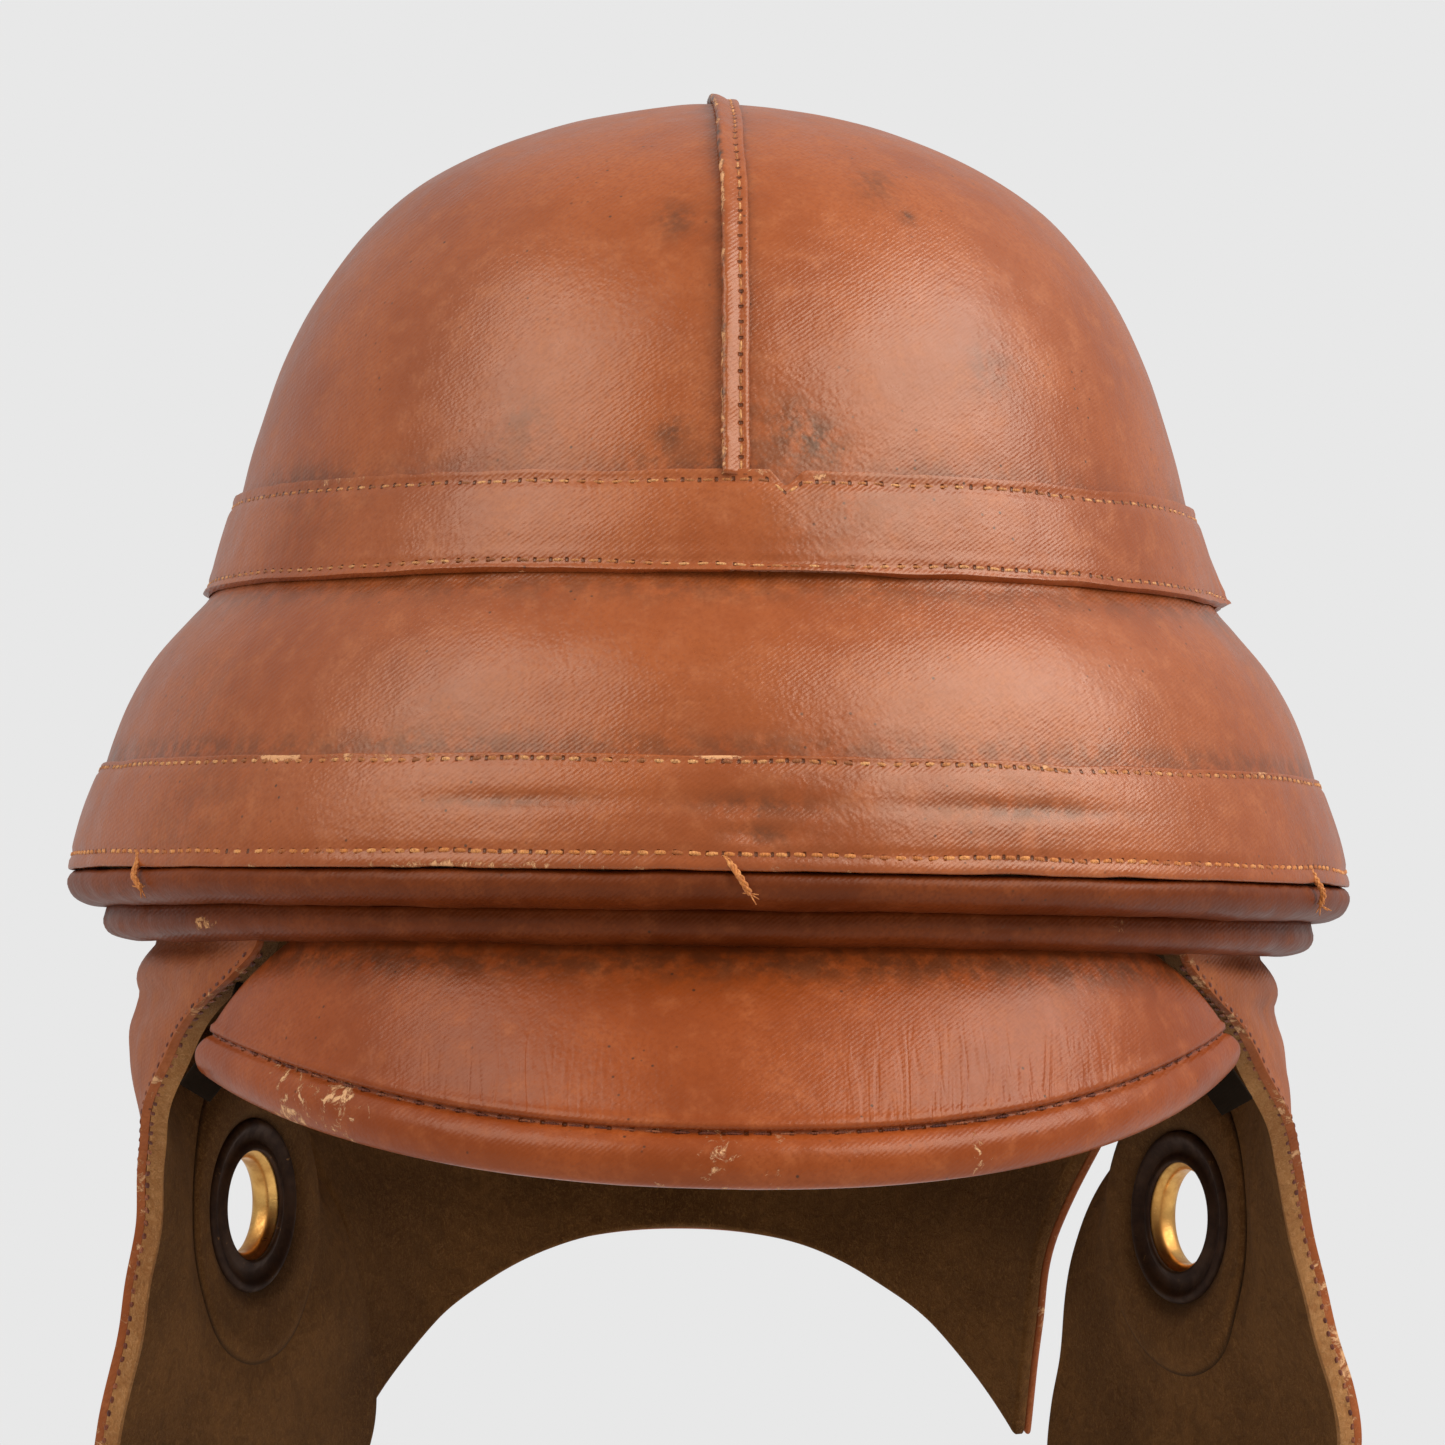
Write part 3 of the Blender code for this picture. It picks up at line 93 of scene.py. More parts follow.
# How far the left flap (1) and the right flap (-1) bow out, by the share of their drop
BOW_ROWS = {
    1: ((0.00, 0.0000), (0.14, 0.0012), (0.22, 0.0044), (0.37, 0.0060), (0.51, 0.0084), (0.62, 0.0094),
        (0.72, 0.0082), (0.85, 0.0035), (0.94, 0.0006), (1.00, 0.0000)),
    -1: ((0.00, 0.0000), (0.14, 0.0010), (0.22, 0.0022), (0.30, 0.0010), (0.39, -0.0008), (0.51, -0.0006),
         (0.60, -0.0016), (0.70, -0.0020), (0.85, -0.0010), (1.00, 0.0000)),
}
ROOT_PUFF, PUFF_FADE = 1.004, 0.25
NAPE_SIDE_DROP, NAPE_CENTRE_DROP, NAPE_ARCH_POWER = 0.104, 0.062, 2.2
# Rows of the nape curtain: share of its drop, shares of width and length, degrees to its edge
NAPE_ROWS = (
    (-0.010, 0.990, 0.992, 25.6), (0.000, 0.990, 0.992, 25.6), (0.038, 0.988, 0.990, 25.9),
    (0.115, 0.994, 0.994, 26.5), (0.220, 0.955, 0.986, 28.4), (0.330, 0.905, 0.975, 30.6),
    (0.450, 0.862, 0.960, 33.2), (0.580, 0.828, 0.943, 36.0), (0.770, 0.842, 0.930, 39.6),
    (1.000, 0.872, 0.920, 43.2),
)
CURTAIN_LEATHER, CURTAIN_FELT = 0.0018, 0.0034
FELT_DEPTH = 0.0019
THINNED_SHARE, THINNED_RADIUS, THINNED_FADE = 0.34, 0.0165, 0.0055
PATCH_HALF_WIDTH, PATCH_HALF_HEIGHT, PATCH_SHIFT, PATCH_HOLE = 0.029, 0.030, 0.003, 0.0138
PATCH_THICKNESS = 0.0012
PATCH_SUNK, PATCH_DEPTH, PATCH_EDGE_DEPTH = 0.0031, 0.0050, 0.0055
EAR_ACROSS, EAR_HEIGHT = 0.57, -0.054
EAR_SLOPE = 0.14
EAR_TURN_DEGREES = 9.0
FLAT_RADIUS, FLAT_FADE = 0.023, 0.017
FLANGE_RADIUS = 0.0196
HOLE_RADIUS = 0.0131
PEAK_ROOT_DEGREES, PEAK_TIP_DEGREES = 47.4, 58.5
PEAK_ROOT_INSET, PEAK_TIP_SPREAD = 0.0022, 0.0005
PEAK_FRONT_LENGTH, PEAK_SIDE_LENGTH, PEAK_LENGTH_POWER = 0.030, 0.0035, 3.5
PEAK_FRONT_DROP, PEAK_SIDE_DROP, PEAK_DROP_POWER = 0.0425, 0.0215, 2.2
PEAK_CAMBER = 0.0022
PEAK_FACE = 0.0029
PEAK_BINDING = 0.0100
PEAK_SAG, PEAK_TILT = 0.0021, 0.0017
PEAK_ENDS_INSET = 0.0045
PEAK_TUCKED = 0.0025
PEAK_LEATHER, PEAK_LINING, PEAK_UNDER_FACE = 0.0011, 0.0009, 0.0018
STIFFENER_FROM_ROOT, STIFFENER_FROM_EDGE = 0.002, 0.004
STIFFENER_FACE, STIFFENER_THICKNESS = 0.0014, 0.0026
CORNER_POINTS = ((0.0900, -0.0775, -0.0080), (0.0925, -0.0760, -0.0150), (0.0965, -0.0730, -0.0222),
                 (0.1015, -0.0700, -0.0290))
CORNER_STATIONS, CORNER_HALF_WIDTH = 18, 0.0036
CLEARANCE = 0.0003
STRAP_WIDTH, STRAP_THICKNESS, STRAP_LENGTH, STRAP_POINT = 0.016, 0.0022, 0.150, 0.009
STRAP_HOLE_START, STRAP_HOLE_PITCH, STRAP_HOLE_COUNT, STRAP_HOLE_RADIUS = 0.020, 0.012, 6, 0.0016
TAB_HEIGHT, TAB_LEATHER, TAB_LIFT = 0.019, 0.0015, 0.0017
CHAPE_LENGTH, CHAPE_LEATHER, CHAPE_SLOT, CHAPE_SEWN = 0.027, 0.0014, 0.0038, 0.0195
KEEPER_HEIGHT, KEEPER_THICKNESS, KEEPER_DROP = 0.007, 0.0012, 0.008
WIRE_RADIUS, BUCKLE_HALF_WIDTH, BUCKLE_HEIGHT = 0.0012, 0.0108, 0.0165
BUCKLE_CORNER, BAR_CORNER = 0.0035, 0.001
PRONG_RADIUS, PRONG_EYE_WIDTH, PRONG_EYE_WALL = 0.0009, 0.0024, 0.0012

# Sewing
CROWN_PITCH, BRIM_PITCH, PEAK_PITCH, FLAP_PITCH, STRAP_PITCH = 0.0035, 0.0032, 0.0049, 0.0028, 0.0026
ROW_OFFSET = 10.0


# Small helpers


def lerp(a, b, t):
    return a + (b - a) * t


def smoothstep(t):
    t = min(max(t, 0.0), 1.0)
    return t * t * (3 - 2 * t)


def near(x, width):
    """One at zero, falling off on both sides."""
    return math.exp(-(x / width) ** 2)


def turned(angle, middle):
    """An angle counted from a middle angle, between minus and plus half a turn."""
    return (angle - middle + math.pi) % math.tau - math.pi


def spread(first, last, count):
    return [lerp(first, last, index / (count - 1)) for index in range(count)]


def turns(count):
    """Angles round a whole turn, without its end."""
    return [math.tau * index / count for index in range(count)]


def hum(co, scale, seed=0.0):
    """Smooth noise between about -1 and 1."""
    return noise.noise(co * scale + Vector((seed, seed * 0.7, -seed)))


def flipped(at, mirror):
    return Vector((at.x * mirror, at.y, at.z))


def axes(origin, x, y, z):
    """The matrix of a frame from its origin and its three directions."""
    return Matrix.Translation(origin) @ Matrix((x, y, z)).transposed().to_4x4()


def uneven(base, depth, scale, seed):
    """A painted value that varies smoothly round a base value."""
    return lambda v: base + depth * hum(v.co, scale, seed)


def blotches(depth, scale, seed):
    """A painted value that is zero but for smooth blotches."""
    return lambda v: depth * max(0.0, hum(v.co, scale, seed))


# Materials


class Shader:
    """A new material and short ways to add nodes to it."""

    def __init__(self, name, **settings):
        self.material = bpy.data.materials.new(name)
        self.material.use_nodes = True
        self.tree = self.material.node_tree
        self.shader = self.tree.nodes["Principled BSDF"]
        self.set(self.shader, settings)

    def set(self, node, values):
        for name, value in values.items():
            if isinstance(name, str):
                wanted = name.replace("_", " ")
                into = next(s for s in node.inputs if s.name == wanted and s.enabled)
            else:
                into = node.inputs[name]
            if isinstance(value, bpy.types.NodeSocket):
                self.tree.links.new(value, into)
            else:
                into.default_value = value

    def add(self, kind, inputs=None, **settings):
        node = self.tree.nodes.new("ShaderNode" + kind)
        for name, value in settings.items():
            setattr(node, name, value)
        self.set(node, inputs or {})
        return node

    def value(self, name):
        """A number stored on the mesh; zero where the mesh has none."""
        return self.add("Attribute", attribute_name=name).outputs["Fac"]

    def place(self):
        """Where a point of a piece lies at rest, in metres."""
        return self.add("Attribute", attribute_name="place").outputs["Vector"]

    def noise(self, where, scale, detail=3.0, rough=0.55, distortion=0.0):
        inputs = {"Vector": where, "Scale": scale, "Detail": detail, "Roughness": rough,
                  "Distortion": distortion}
        return self.add("TexNoise", inputs).outputs["Fac"]

    def cells(self, where, scale, feature="F1", out="Distance"):
        return self.add("TexVoronoi", {"Vector": where, "Scale": scale}, feature=feature).outputs[out]

    def stretch(self, where, factors):
        return self.add("VectorMath", {0: where, 1: factors}, operation="MULTIPLY").outputs[0]

    def span(self, value, low, high, to_low=0.0, to_high=1.0):
        inputs = {"Value": value, "From_Min": low, "From_Max": high, "To_Min": to_low, "To_Max": to_high}
        return self.add("MapRange", inputs, interpolation_type="SMOOTHSTEP").outputs[0]

    def math(self, operation, first, second=0.5):
        return self.add("Math", {0: first, 1: second}, operation=operation).outputs[0]

    def mix(self, factor, first, second):
        made = self.add("Mix", data_type="RGBA")
        for name, value in (("Factor", factor), ("A", first), ("B", second)):
            self.set(made, {name: (*value, 1.0) if isinstance(value, tuple) else value})
        return next(out for out in made.outputs if out.enabled)

    def bump(self, height, distance, strength=1.0, below=None):
        inputs = {"Height": height, "Distance": distance, "Strength": strength}
        if below is not None:
            inputs["Normal"] = below
        return self.add("Bump", inputs).outputs[0]

    def needle_holes(self):
        """One in a needle hole, from the stitch count along a row and the millimetres from the row."""
        phase = self.math("FRACT", self.value("stitch"))
        middle = self.math("ABSOLUTE", self.math("SUBTRACT", phase, 0.5))
        across = self.math("ABSOLUTE", self.math("SUBTRACT", self.value("row"), ROW_OFFSET))
        return self.math("MULTIPLY", self.span(middle, 0.36, 0.46), self.span(across, 0.20, 0.60, 1.0, 0.0))

    def finish(self, colour, roughness, normal):
        self.set(self.shader, {"Base_Color": colour, "Roughness": roughness, "Normal": normal})
        return self.material


def leather(name, base, deep, light, worn, gloss=(0.27, 0.38), grain=1.0, folds=0.0, shine=0.60):
    """Grained leather: uneven dye, pores, stains and painted shade ("dark"), rubbed places ("wear") and
    needle holes painted dark as shade.
    """
    s = Shader(name, Specular_IOR_Level=shine)
    s.set(s.shader, {"Specular_Tint": (1.0, 0.84, 0.66, 1.0)})
    where = s.place()
    mottle = s.noise(where, 170.0, 5.0, 0.62)
    colour = s.mix(s.span(s.noise(where, 24.0, 5.0, 0.65), 0.36, 0.68), base, deep)
    colour = s.mix(s.span(mottle, 0.47, 0.74, 0.0, 0.50), colour, light)
    colour = s.mix(s.span(s.noise(where, 1100.0, 2.0), 0.30, 0.58, 0.55, 0.0), colour, deep)
    pores = s.span(s.cells(where, 300.0), 0.05, 0.13, 1.0, 0.0)
    pores = s.math("MULTIPLY", pores, s.span(s.noise(where, 42.0, 3.0), 0.50, 0.64))
    colour = s.mix(s.math("MULTIPLY", pores, 0.8), colour, (0.030, 0.014, 0.008))
    # The "dark" value darkens for stains, and on some pieces for painted shade and painted shadow.
    dark = s.math("MULTIPLY", s.value("dark"), s.span(s.noise(where, 260.0, 5.0, 0.65), 0.34, 0.60))
    colour = s.mix(dark, colour, (0.050, 0.020, 0.009))
    fine = s.math("MULTIPLY", s.noise(where, 330.0, 6.0, 0.75, 0.6), 0.7)
    ragged = s.math("ADD", fine, s.math("MULTIPLY", s.noise(where, 75.0, 3.0), 0.3))
    rub = s.span(s.math("ADD", s.value("wear"), ragged), 0.80, 0.87)
    colour = s.mix(rub, colour, worn)
    # Needle holes are painted dark: painted shade inside the holes.
    holes = s.needle_holes()
    colour = s.mix(s.math("MULTIPLY", holes, 0.75), colour, (0.050, 0.014, 0.006))
    roughness = s.math("ADD", s.span(mottle, 0.30, 0.70, *gloss), s.math("MULTIPLY", rub, 0.25))
    pebble = s.cells(s.stretch(where, (1.0, 1.0, 0.8)), 1250.0, "SMOOTH_F1")
    normal = s.bump(pebble, 0.00007 * grain, 0.8)
    slanted = s.add("Mapping", {"Vector": where, "Rotation": (0.0, 0.65, 0.0)}).outputs[0]
    weave = {"Vector": slanted, "Scale": 430.0, "Distortion": 1.5, "Detail": 2.0, "Detail_Scale": 1.5}
    twill = s.add("TexWave", weave, bands_direction="Z").outputs["Fac"]
    normal = s.bump(twill, 0.00004 * grain, 0.6, normal)
    normal = s.bump(s.noise(where, 620.0, 3.0), 0.00016 * grain, 0.6, normal)
    normal = s.bump(s.noise(where, 75.0, 3.0), 0.0008, 0.30, normal)
    if folds:
        lines = s.noise(s.stretch(where, (1.0, 0.12, 0.12)), 300.0, 2.0, 0.5, 0.6)
        ridge = s.math("ABSOLUTE", s.math("SUBTRACT", lines, 0.5))
        ridge = s.math("MULTIPLY", s.span(ridge, 0.0, 0.13), s.value("fold"))
        normal = s.bump(ridge, 0.00050, folds, normal)
    normal = s.bump(s.math("SUBTRACT", 1.0, rub), 0.00022, 0.6, normal)
    normal = s.bump(s.math("SUBTRACT", 1.0, holes), 0.0005, 0.9, normal)
    return s.finish(colour, roughness, normal)


def felt(name, base, deep, light, solid=False, grain=1.0):
    """Felt with fibres and tufts; solid takes its place from the object, for the solids that stay."""
    s = Shader(name, Sheen_Weight=0.10, Sheen_Roughness=0.6, Specular_IOR_Level=0.08)
    s.set(s.shader, {"Sheen_Tint": (0.9, 0.55, 0.30, 1.0)})
    where = s.add("TexCoord").outputs["Object"] if solid else s.place()
    fibres = s.noise(s.stretch(where, (1.0, 1.0, 0.55)), 1500.0, 6.0, 0.78, 1.6)
    tufts = s.noise(where, 300.0, 5.0, 0.62, 0.8)
    colour = s.mix(s.span(s.noise(where, 26.0, 4.0), 0.34, 0.68), base, deep)
    colour = s.mix(s.span(fibres, 0.44, 0.66, 0.0, 0.65), colour, light)
    colour = s.mix(s.span(tufts, 0.32, 0.56, 0.55, 0.0), colour, deep)
    # The "dark" value darkens for blotches, and on the flaps' linings for painted shade.
    dark = s.math("MULTIPLY", s.value("dark"), s.span(tufts, 0.20, 0.55, 0.5, 1.0))
    colour = s.mix(dark, colour, (0.022, 0.010, 0.004))
    normal = s.bump(fibres, 0.0007 * grain, 0.8)
    normal = s.bump(tufts, 0.0012 * grain, 0.6, normal)
    return s.finish(colour, s.span(tufts, 0.2, 0.8, 0.88, 1.0), normal)


def thread(name, base, deep, light):
    """Twisted thread; each stitch has its own tone."""
    s = Shader(name, Sheen_Weight=0.1, Specular_IOR_Level=0.3)
    where = s.place()
    tone = s.value("tone")
    twist = {"Vector": where, "Scale": 560.0, "Distortion": 4.0, "Detail": 2.0}
    ply = s.add("TexWave", twist).outputs["Fac"]
    colour = s.mix(s.span(tone, 0.35, 1.0), base, light)
    colour = s.mix(s.span(tone, 0.0, 0.30, 0.9, 0.0), colour, deep)
    colour = s.mix(s.span(s.noise(where, 1900.0, 3.0), 0.34, 0.6, 0.7, 0.0), colour, deep)
    return s.finish(colour, s.span(ply, 0.0, 1.0, 0.60, 0.80), s.bump(ply, 0.00015, 0.7))


def metal(name, base, deep, worn, gloss, metallic, shine=0.5):
    """Tarnished and scratched metal, or japanning on it."""
    s = Shader(name, Metallic=metallic, Specular_IOR_Level=shine)
    where = s.place()
    tarnish = s.span(s.noise(where, 190.0, 6.0, 0.65), 0.34, 0.68)
    colour = s.mix(tarnish, base, deep)
    scuff = s.span(s.math("ADD", s.value("wear"), s.noise(where, 600.0, 5.0, 0.7)), 0.74, 0.86)
    colour = s.mix(scuff, colour, worn)
    scratches = s.noise(s.stretch(where, (1.0, 1.0, 6.0)), 900.0, 3.0)
    roughness = s.math("ADD", s.span(tarnish, 0.0, 1.0, *gloss), s.math("MULTIPLY", scratches, 0.08))
    return s.finish(colour, roughness, s.bump(scratches, 0.00008, 0.5))


def cork(name):
    s = Shader(name)
    where = s.add("TexCoord").outputs["Object"]
    grains = s.cells(where, 420.0, "F1", "Color")
    colour = s.mix(s.span(s.noise(where, 90.0, 4.0), 0.3, 0.7), (0.42, 0.27, 0.15), (0.30, 0.17, 0.085))
    colour = s.mix(s.math("MULTIPLY", grains, 0.35), colour, (0.16, 0.08, 0.035))
    roughness = s.span(s.noise(where, 300.0), 0.3, 0.7, 0.82, 0.95)
    return s.finish(colour, roughness, s.bump(s.cells(where, 420.0), 0.0006, 0.6))


FELT_TONES = ((0.175, 0.070, 0.017), (0.092, 0.034, 0.007), (0.32, 0.140, 0.042))

TAN = leather("tan_leather_worn", (0.350, 0.082, 0.018), (0.270, 0.054, 0.009), (0.42, 0.120, 0.034),
              (0.70, 0.34, 0.15))
TAN_ROLL = leather("roll_leather_worn", (0.185, 0.036, 0.006), (0.120, 0.021, 0.003), (0.25, 0.060, 0.014),
                   (0.62, 0.30, 0.12), (0.36, 0.50), shine=0.22)
TAN_PEAK = leather("peak_leather_worn", (0.315, 0.064, 0.012), (0.235, 0.042, 0.006), (0.39, 0.100, 0.026),
                   (0.74, 0.40, 0.19), (0.28, 0.38), 0.7, 0.28, 0.34)
TAN_CURTAIN = leather("curtain_leather_worn", (0.345, 0.092, 0.026), (0.255, 0.060, 0.014),
                      (0.44, 0.145, 0.050), (0.68, 0.36, 0.17), (0.40, 0.54), 1.4, shine=0.18)
STRAP = leather("strap_leather_worn", (0.255, 0.078, 0.026), (0.160, 0.045, 0.013), (0.34, 0.125, 0.048),
                (0.50, 0.26, 0.12), (0.40, 0.56), 0.8)
BLACK = leather("black_lining_leather", (0.011, 0.006, 0.0035), (0.007, 0.004, 0.002), (0.018, 0.010, 0.006),
                (0.05, 0.03, 0.018), (0.70, 0.85), shine=0.06)
FELT = felt("olive_felt", *FELT_TONES)
FELT_EDGE = felt("tan_felt_edge", (0.56, 0.250, 0.082), (0.36, 0.135, 0.038), (0.74, 0.40, 0.17), grain=1.8)
FELT_SOLID = felt("felt_of_solids", *FELT_TONES, solid=True)
THREAD = thread("linen_thread", (0.52, 0.190, 0.050), (0.24, 0.070, 0.018), (0.74, 0.36, 0.13))
THREAD_ORANGE = thread("orange_thread", (0.60, 0.200, 0.042), (0.34, 0.090, 0.018), (0.76, 0.33, 0.10))
THREAD_DARK = thread("dark_red_thread", (0.17, 0.040, 0.016), (0.08, 0.018, 0.009), (0.36, 0.110, 0.040))
BRASS = metal("aged_brass", (0.78, 0.44, 0.13), (0.56, 0.27, 0.07), (0.90, 0.62, 0.26), (0.24, 0.42), 1.0)
ENAMEL = metal("brown_japanning", (0.050, 0.020, 0.007), (0.024, 0.009, 0.004), (0.26, 0.12, 0.04),
               (0.50, 0.66), 0.0, 0.15)
CORK = cork("pressed_cork")
CORD = felt("cotton_cord", (0.55, 0.47, 0.34), (0.42, 0.34, 0.23), (0.66, 0.58, 0.45), solid=True)
BOARD = felt("fibre_board", (0.16, 0.10, 0.06), (0.11, 0.065, 0.035), (0.22, 0.15, 0.09), solid=True)


# Lines and meshes


def running_lengths(points):
    """The length of a line of points up to each point."""
    lengths = [0.0]
    for a, b in zip(points, points[1:]):
        lengths.append(lengths[-1] + (b - a).length)
    return lengths


def resample(points, count, closed=False):
    """Evenly spaced points along a line of points."""
    points = list(points) + ([points[0]] if closed else [])
    lengths = running_lengths(points)
    steps = count if closed else count - 1
    out, index = [], 0
    for number in range(count):
        goal = lengths[-1] * number / steps
        while index < len(points) - 2 and lengths[index + 1] < goal:
            index += 1
        run = lengths[index + 1] - lengths[index]
        out.append(points[index].lerp(points[index + 1], (goal - lengths[index]) / run if run else 0.0))
    return out


def curve_through(points, count, after=None, closed=False):
    """Evenly spaced points on a smooth curve through points."""
    points = [Vector(p) for p in points]
    if closed:
        line = [points[-1], *points, points[0], points[1]]
    else:
        last = Vector(after) if after else points[-1] * 2 - points[-2]
        line = [points[0] * 2 - points[1], *points, last]
    dense = []
    for p0, p1, p2, p3 in zip(line, line[1:], line[2:], line[3:]):
        for step in range(12):
            t = step / 12
            dense.append((p1 * 2 + (p2 - p0) * t + (p0 * 2 - p1 * 5 + p2 * 4 - p3) * t * t
                          + (p1 * 3 - p0 - p2 * 3 + p3) * t ** 3) / 2)
    if not closed:
        dense.append(points[-1])
    return resample(dense, count, closed)


def slope(table, row, column):
    """Slope of a table's column at one of its rows."""
    first, last = max(row - 1, 0), min(row + 1, len(table) - 1)
    before, after = table[row][0] - table[first][0], table[last][0] - table[row][0]
    if not before:
        return (table[last][column] - table[row][column]) / after
    if not after:
        return (table[row][column] - table[first][column]) / before
    rise = (table[row][column] - table[first][column]) / before * after
    return (rise + (table[last][column] - table[row][column]) / after * before) / (before + after)


def table_at(table, share):
    """A table's values at a share, on a smooth line through its rows."""
    index = 0
    while index < len(table) - 2 and share > table[index + 1][0]:
        index += 1
    low, high = table[index], table[index + 1]
    run = high[0] - low[0]
    t = min(max((share - low[0]) / run, 0.0), 1.0)
    out = []
    for column in range(1, len(low)):
        value = (2 * t ** 3 - 3 * t * t + 1) * low[column] + (3 * t * t - 2 * t ** 3) * high[column]
        value += (t ** 3 - 2 * t * t + t) * run * slope(table, index, column)
        out.append(value + (t ** 3 - t * t) * run * slope(table, index + 1, column))
    return out


def linked(name, data):
    made = bpy.data.objects.new(name, data)
    bpy.context.scene.collection.objects.link(made)
    return made


def grid_piece(name, rows, ring=False, wrap=False):
    """A piece from rows of points; ring closes each row, and wrap joins the last row to the first."""
    count = len(rows[0])
    faces = []
    for r in range(len(rows) if wrap else len(rows) - 1):
        low, high = r * count, (r + 1) % len(rows) * count
        for c in range(count if ring else count - 1):
            d = (c + 1) % count
            faces.append((low + c, low + d, high + d, high + c))
    mesh = bpy.data.meshes.new(name)
    mesh.from_pydata([p for row in rows for p in row], [], faces)
    return linked(name, mesh)


def bm_piece(name, bm):
    bmesh.ops.recalc_face_normals(bm, faces=bm.faces)
    mesh = bpy.data.meshes.new(name)
    bm.to_mesh(mesh)
    bm.free()
    return linked(name, mesh)


@contextmanager
def editing(made):
    """Opens a piece's mesh for editing and writes it back at the end."""
    bm = bmesh.new()
    bm.from_mesh(made.data)
    yield bm
    bm.to_mesh(made.data)
    bm.free()


def cut_faces(bm, gone):
    bmesh.ops.delete(bm, geom=gone, context="FACES")


def closed_up(made):
    """Closes a piece's open rings and turns its faces outwards."""
    with editing(made) as bm:
        bmesh.ops.holes_fill(bm, edges=bm.edges)
        bmesh.ops.recalc_face_normals(bm, faces=bm.faces)
    return made


def store(mesh, name, values, kind="FLOAT"):
    made = mesh.attributes.new(name, kind, "POINT")
    if kind == "FLOAT_VECTOR":
        made.data.foreach_set("vector", [c for v in values for c in v])
    else:
        made.data.foreach_set("value", list(values))


def stored(mesh, name):
    data = mesh.attributes[name].data
    values = [0.0] * len(data)
    data.foreach_get("value", values)
    return values


def thick(made, thickness, inside=Vector((0, 0, 0.03)), edge=0.0005, walls=None, offset=-1.0):
    """Gives an open surface its thickness, on the side of a point inside, and rounds its edges."""
    mesh = made.data
    mesh.update()
    if sum(f.normal.dot(f.center - inside) * f.area for f in mesh.polygons) < 0:
        mesh.flip_normals()
    wall = made.modifiers.new("thickness", "SOLIDIFY")
    wall.thickness, wall.offset = thickness, offset
    if walls:
        group = made.vertex_groups.new(name="walls")
        for index, weight in enumerate(walls):
            group.add([index], weight, "REPLACE")
        wall.vertex_group = "walls"
    if edge:
        soft = made.modifiers.new("edge", "BEVEL")
        soft.width, soft.segments, soft.limit_method = edge, 2, "ANGLE"
        soft.angle_limit = math.radians(50)
    done = bpy.data.meshes.new_from_object(made.evaluated_get(bpy.context.evaluated_depsgraph_get()))
    made.modifiers.clear()
    made.data = done
    return made


def dress(made, material, body, slot, replaced=(), **paint):
    """Stores where each point rests and the painted values, and says what the piece rides on."""
    mesh = made.data
    mesh.materials.clear()
    mesh.materials.append(material)
    mesh.shade_smooth()
    store(mesh, "place", [v.co for v in mesh.vertices], "FLOAT_VECTOR")
    for name, rule in paint.items():
        store(mesh, name, [rule(v) for v in mesh.vertices])
    if body:
        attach(made, body)
    if replaced:
        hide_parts(*replaced)
    return made


def add_tube(bm, points, radii, sides=8, closed=False):
    """Adds a tube along points, with a radius for each point."""
    count = len(points)
    up, rings = None, []
    for index, at in enumerate(points):
        if closed:
            along = points[(index + 1) % count] - points[index - 1]
        else:
            along = points[min(index + 1, count - 1)] - points[max(index - 1, 0)]
        along.normalize()
        if up is None:
            up = along.orthogonal().normalized()
        up = (up - along * up.dot(along)).normalized()
        side = along.cross(up)
        rings.append([bm.verts.new(at + (up * math.cos(turn) + side * math.sin(turn)) * radii[index])
                      for turn in turns(sides)])
    for a, b in zip(rings, rings[1:] + (rings[:1] if closed else [])):
        for k in range(sides):
            m = (k + 1) % sides
            bm.faces.new((a[k], a[m], b[m], b[k]))
    if not closed:
        bm.faces.new(list(reversed(rings[0])))
        bm.faces.new(rings[-1])


def stitch_count(line, pitch):
    return max(2, round(running_lengths(line)[-1] / pitch))


def stitches(name, line, ups, pitch, material, body="helmet", slot="tan_leather", radius=0.00033, fill=0.76,
             seed=1, skip=0.0):
    """Threads along a line: each comes up out of its hole, lies on the surface and goes in again."""
    luck = random.Random(seed)
    count, parts = stitch_count(line, pitch), 8
    where = resample(line, count * parts + 1)
    raised = resample([a + b * 0.01 for a, b in zip(line, ups)], count * parts + 1)
    sides, rings = 6, 7
    points, faces, tones = [], [], []

    def place(at):
        index = min(max(int(at), 0), len(where) - 2)
        spot = where[index].lerp(where[index + 1], at - index)
        return spot, raised[index].lerp(raised[index + 1], at - index) - spot

    for number in range(count):
        if luck.random() < skip:
            continue
        a, a_up = place(parts * (number + (1 - fill) / 2) + luck.uniform(-0.3, 0.3))
        b, b_up = place(parts * (number + (1 + fill) / 2) + luck.uniform(-0.3, 0.3))
        along, up = (b - a).normalized(), (a_up + b_up).normalized()
        side = along.cross(up).normalized()
        skew = side * luck.uniform(-0.7, 0.7) * radius
        tone, first = luck.random(), len(points)
        for ring in range(rings):
            t = ring / (rings - 1)
            arch = math.sin(math.pi * t)
            centre = a.lerp(b, t) + up * radius * (0.85 * arch ** 0.5 - 0.95) + skew * (t - 0.5)
            size = radius * (0.70 + 0.30 * arch)
            for turn in turns(sides):
                points.append(centre + (side * math.cos(turn) * 1.15 + up * math.sin(turn)) * size)
                tones.append(tone)
        for ring in range(rings - 1):
            low, high = first + ring * sides, first + (ring + 1) * sides
            for k in range(sides):
                m = (k + 1) % sides
                faces.append((low + k, low + m, high + m, high + k))
        faces.append(tuple(first + k for k in reversed(range(sides))))
        faces.append(tuple(first + (rings - 1) * sides + k for k in range(sides)))
    mesh = bpy.data.meshes.new(name)
    mesh.from_pydata(points, [], faces)
    store(mesh, "tone", tones)
    return dress(linked(name, mesh), material, body, slot)


# Skins round the oval


def half_length(half_width):
    return half_width + LENGTH_EXCESS * min(1.0, half_width / CROWN_HALF_WIDTH)


def on_oval(half_width, angle, height):
    """A point at an angle round the helmet's oval."""
    return Vector((half_width * math.cos(angle), half_length(half_width) * math.sin(angle), height))


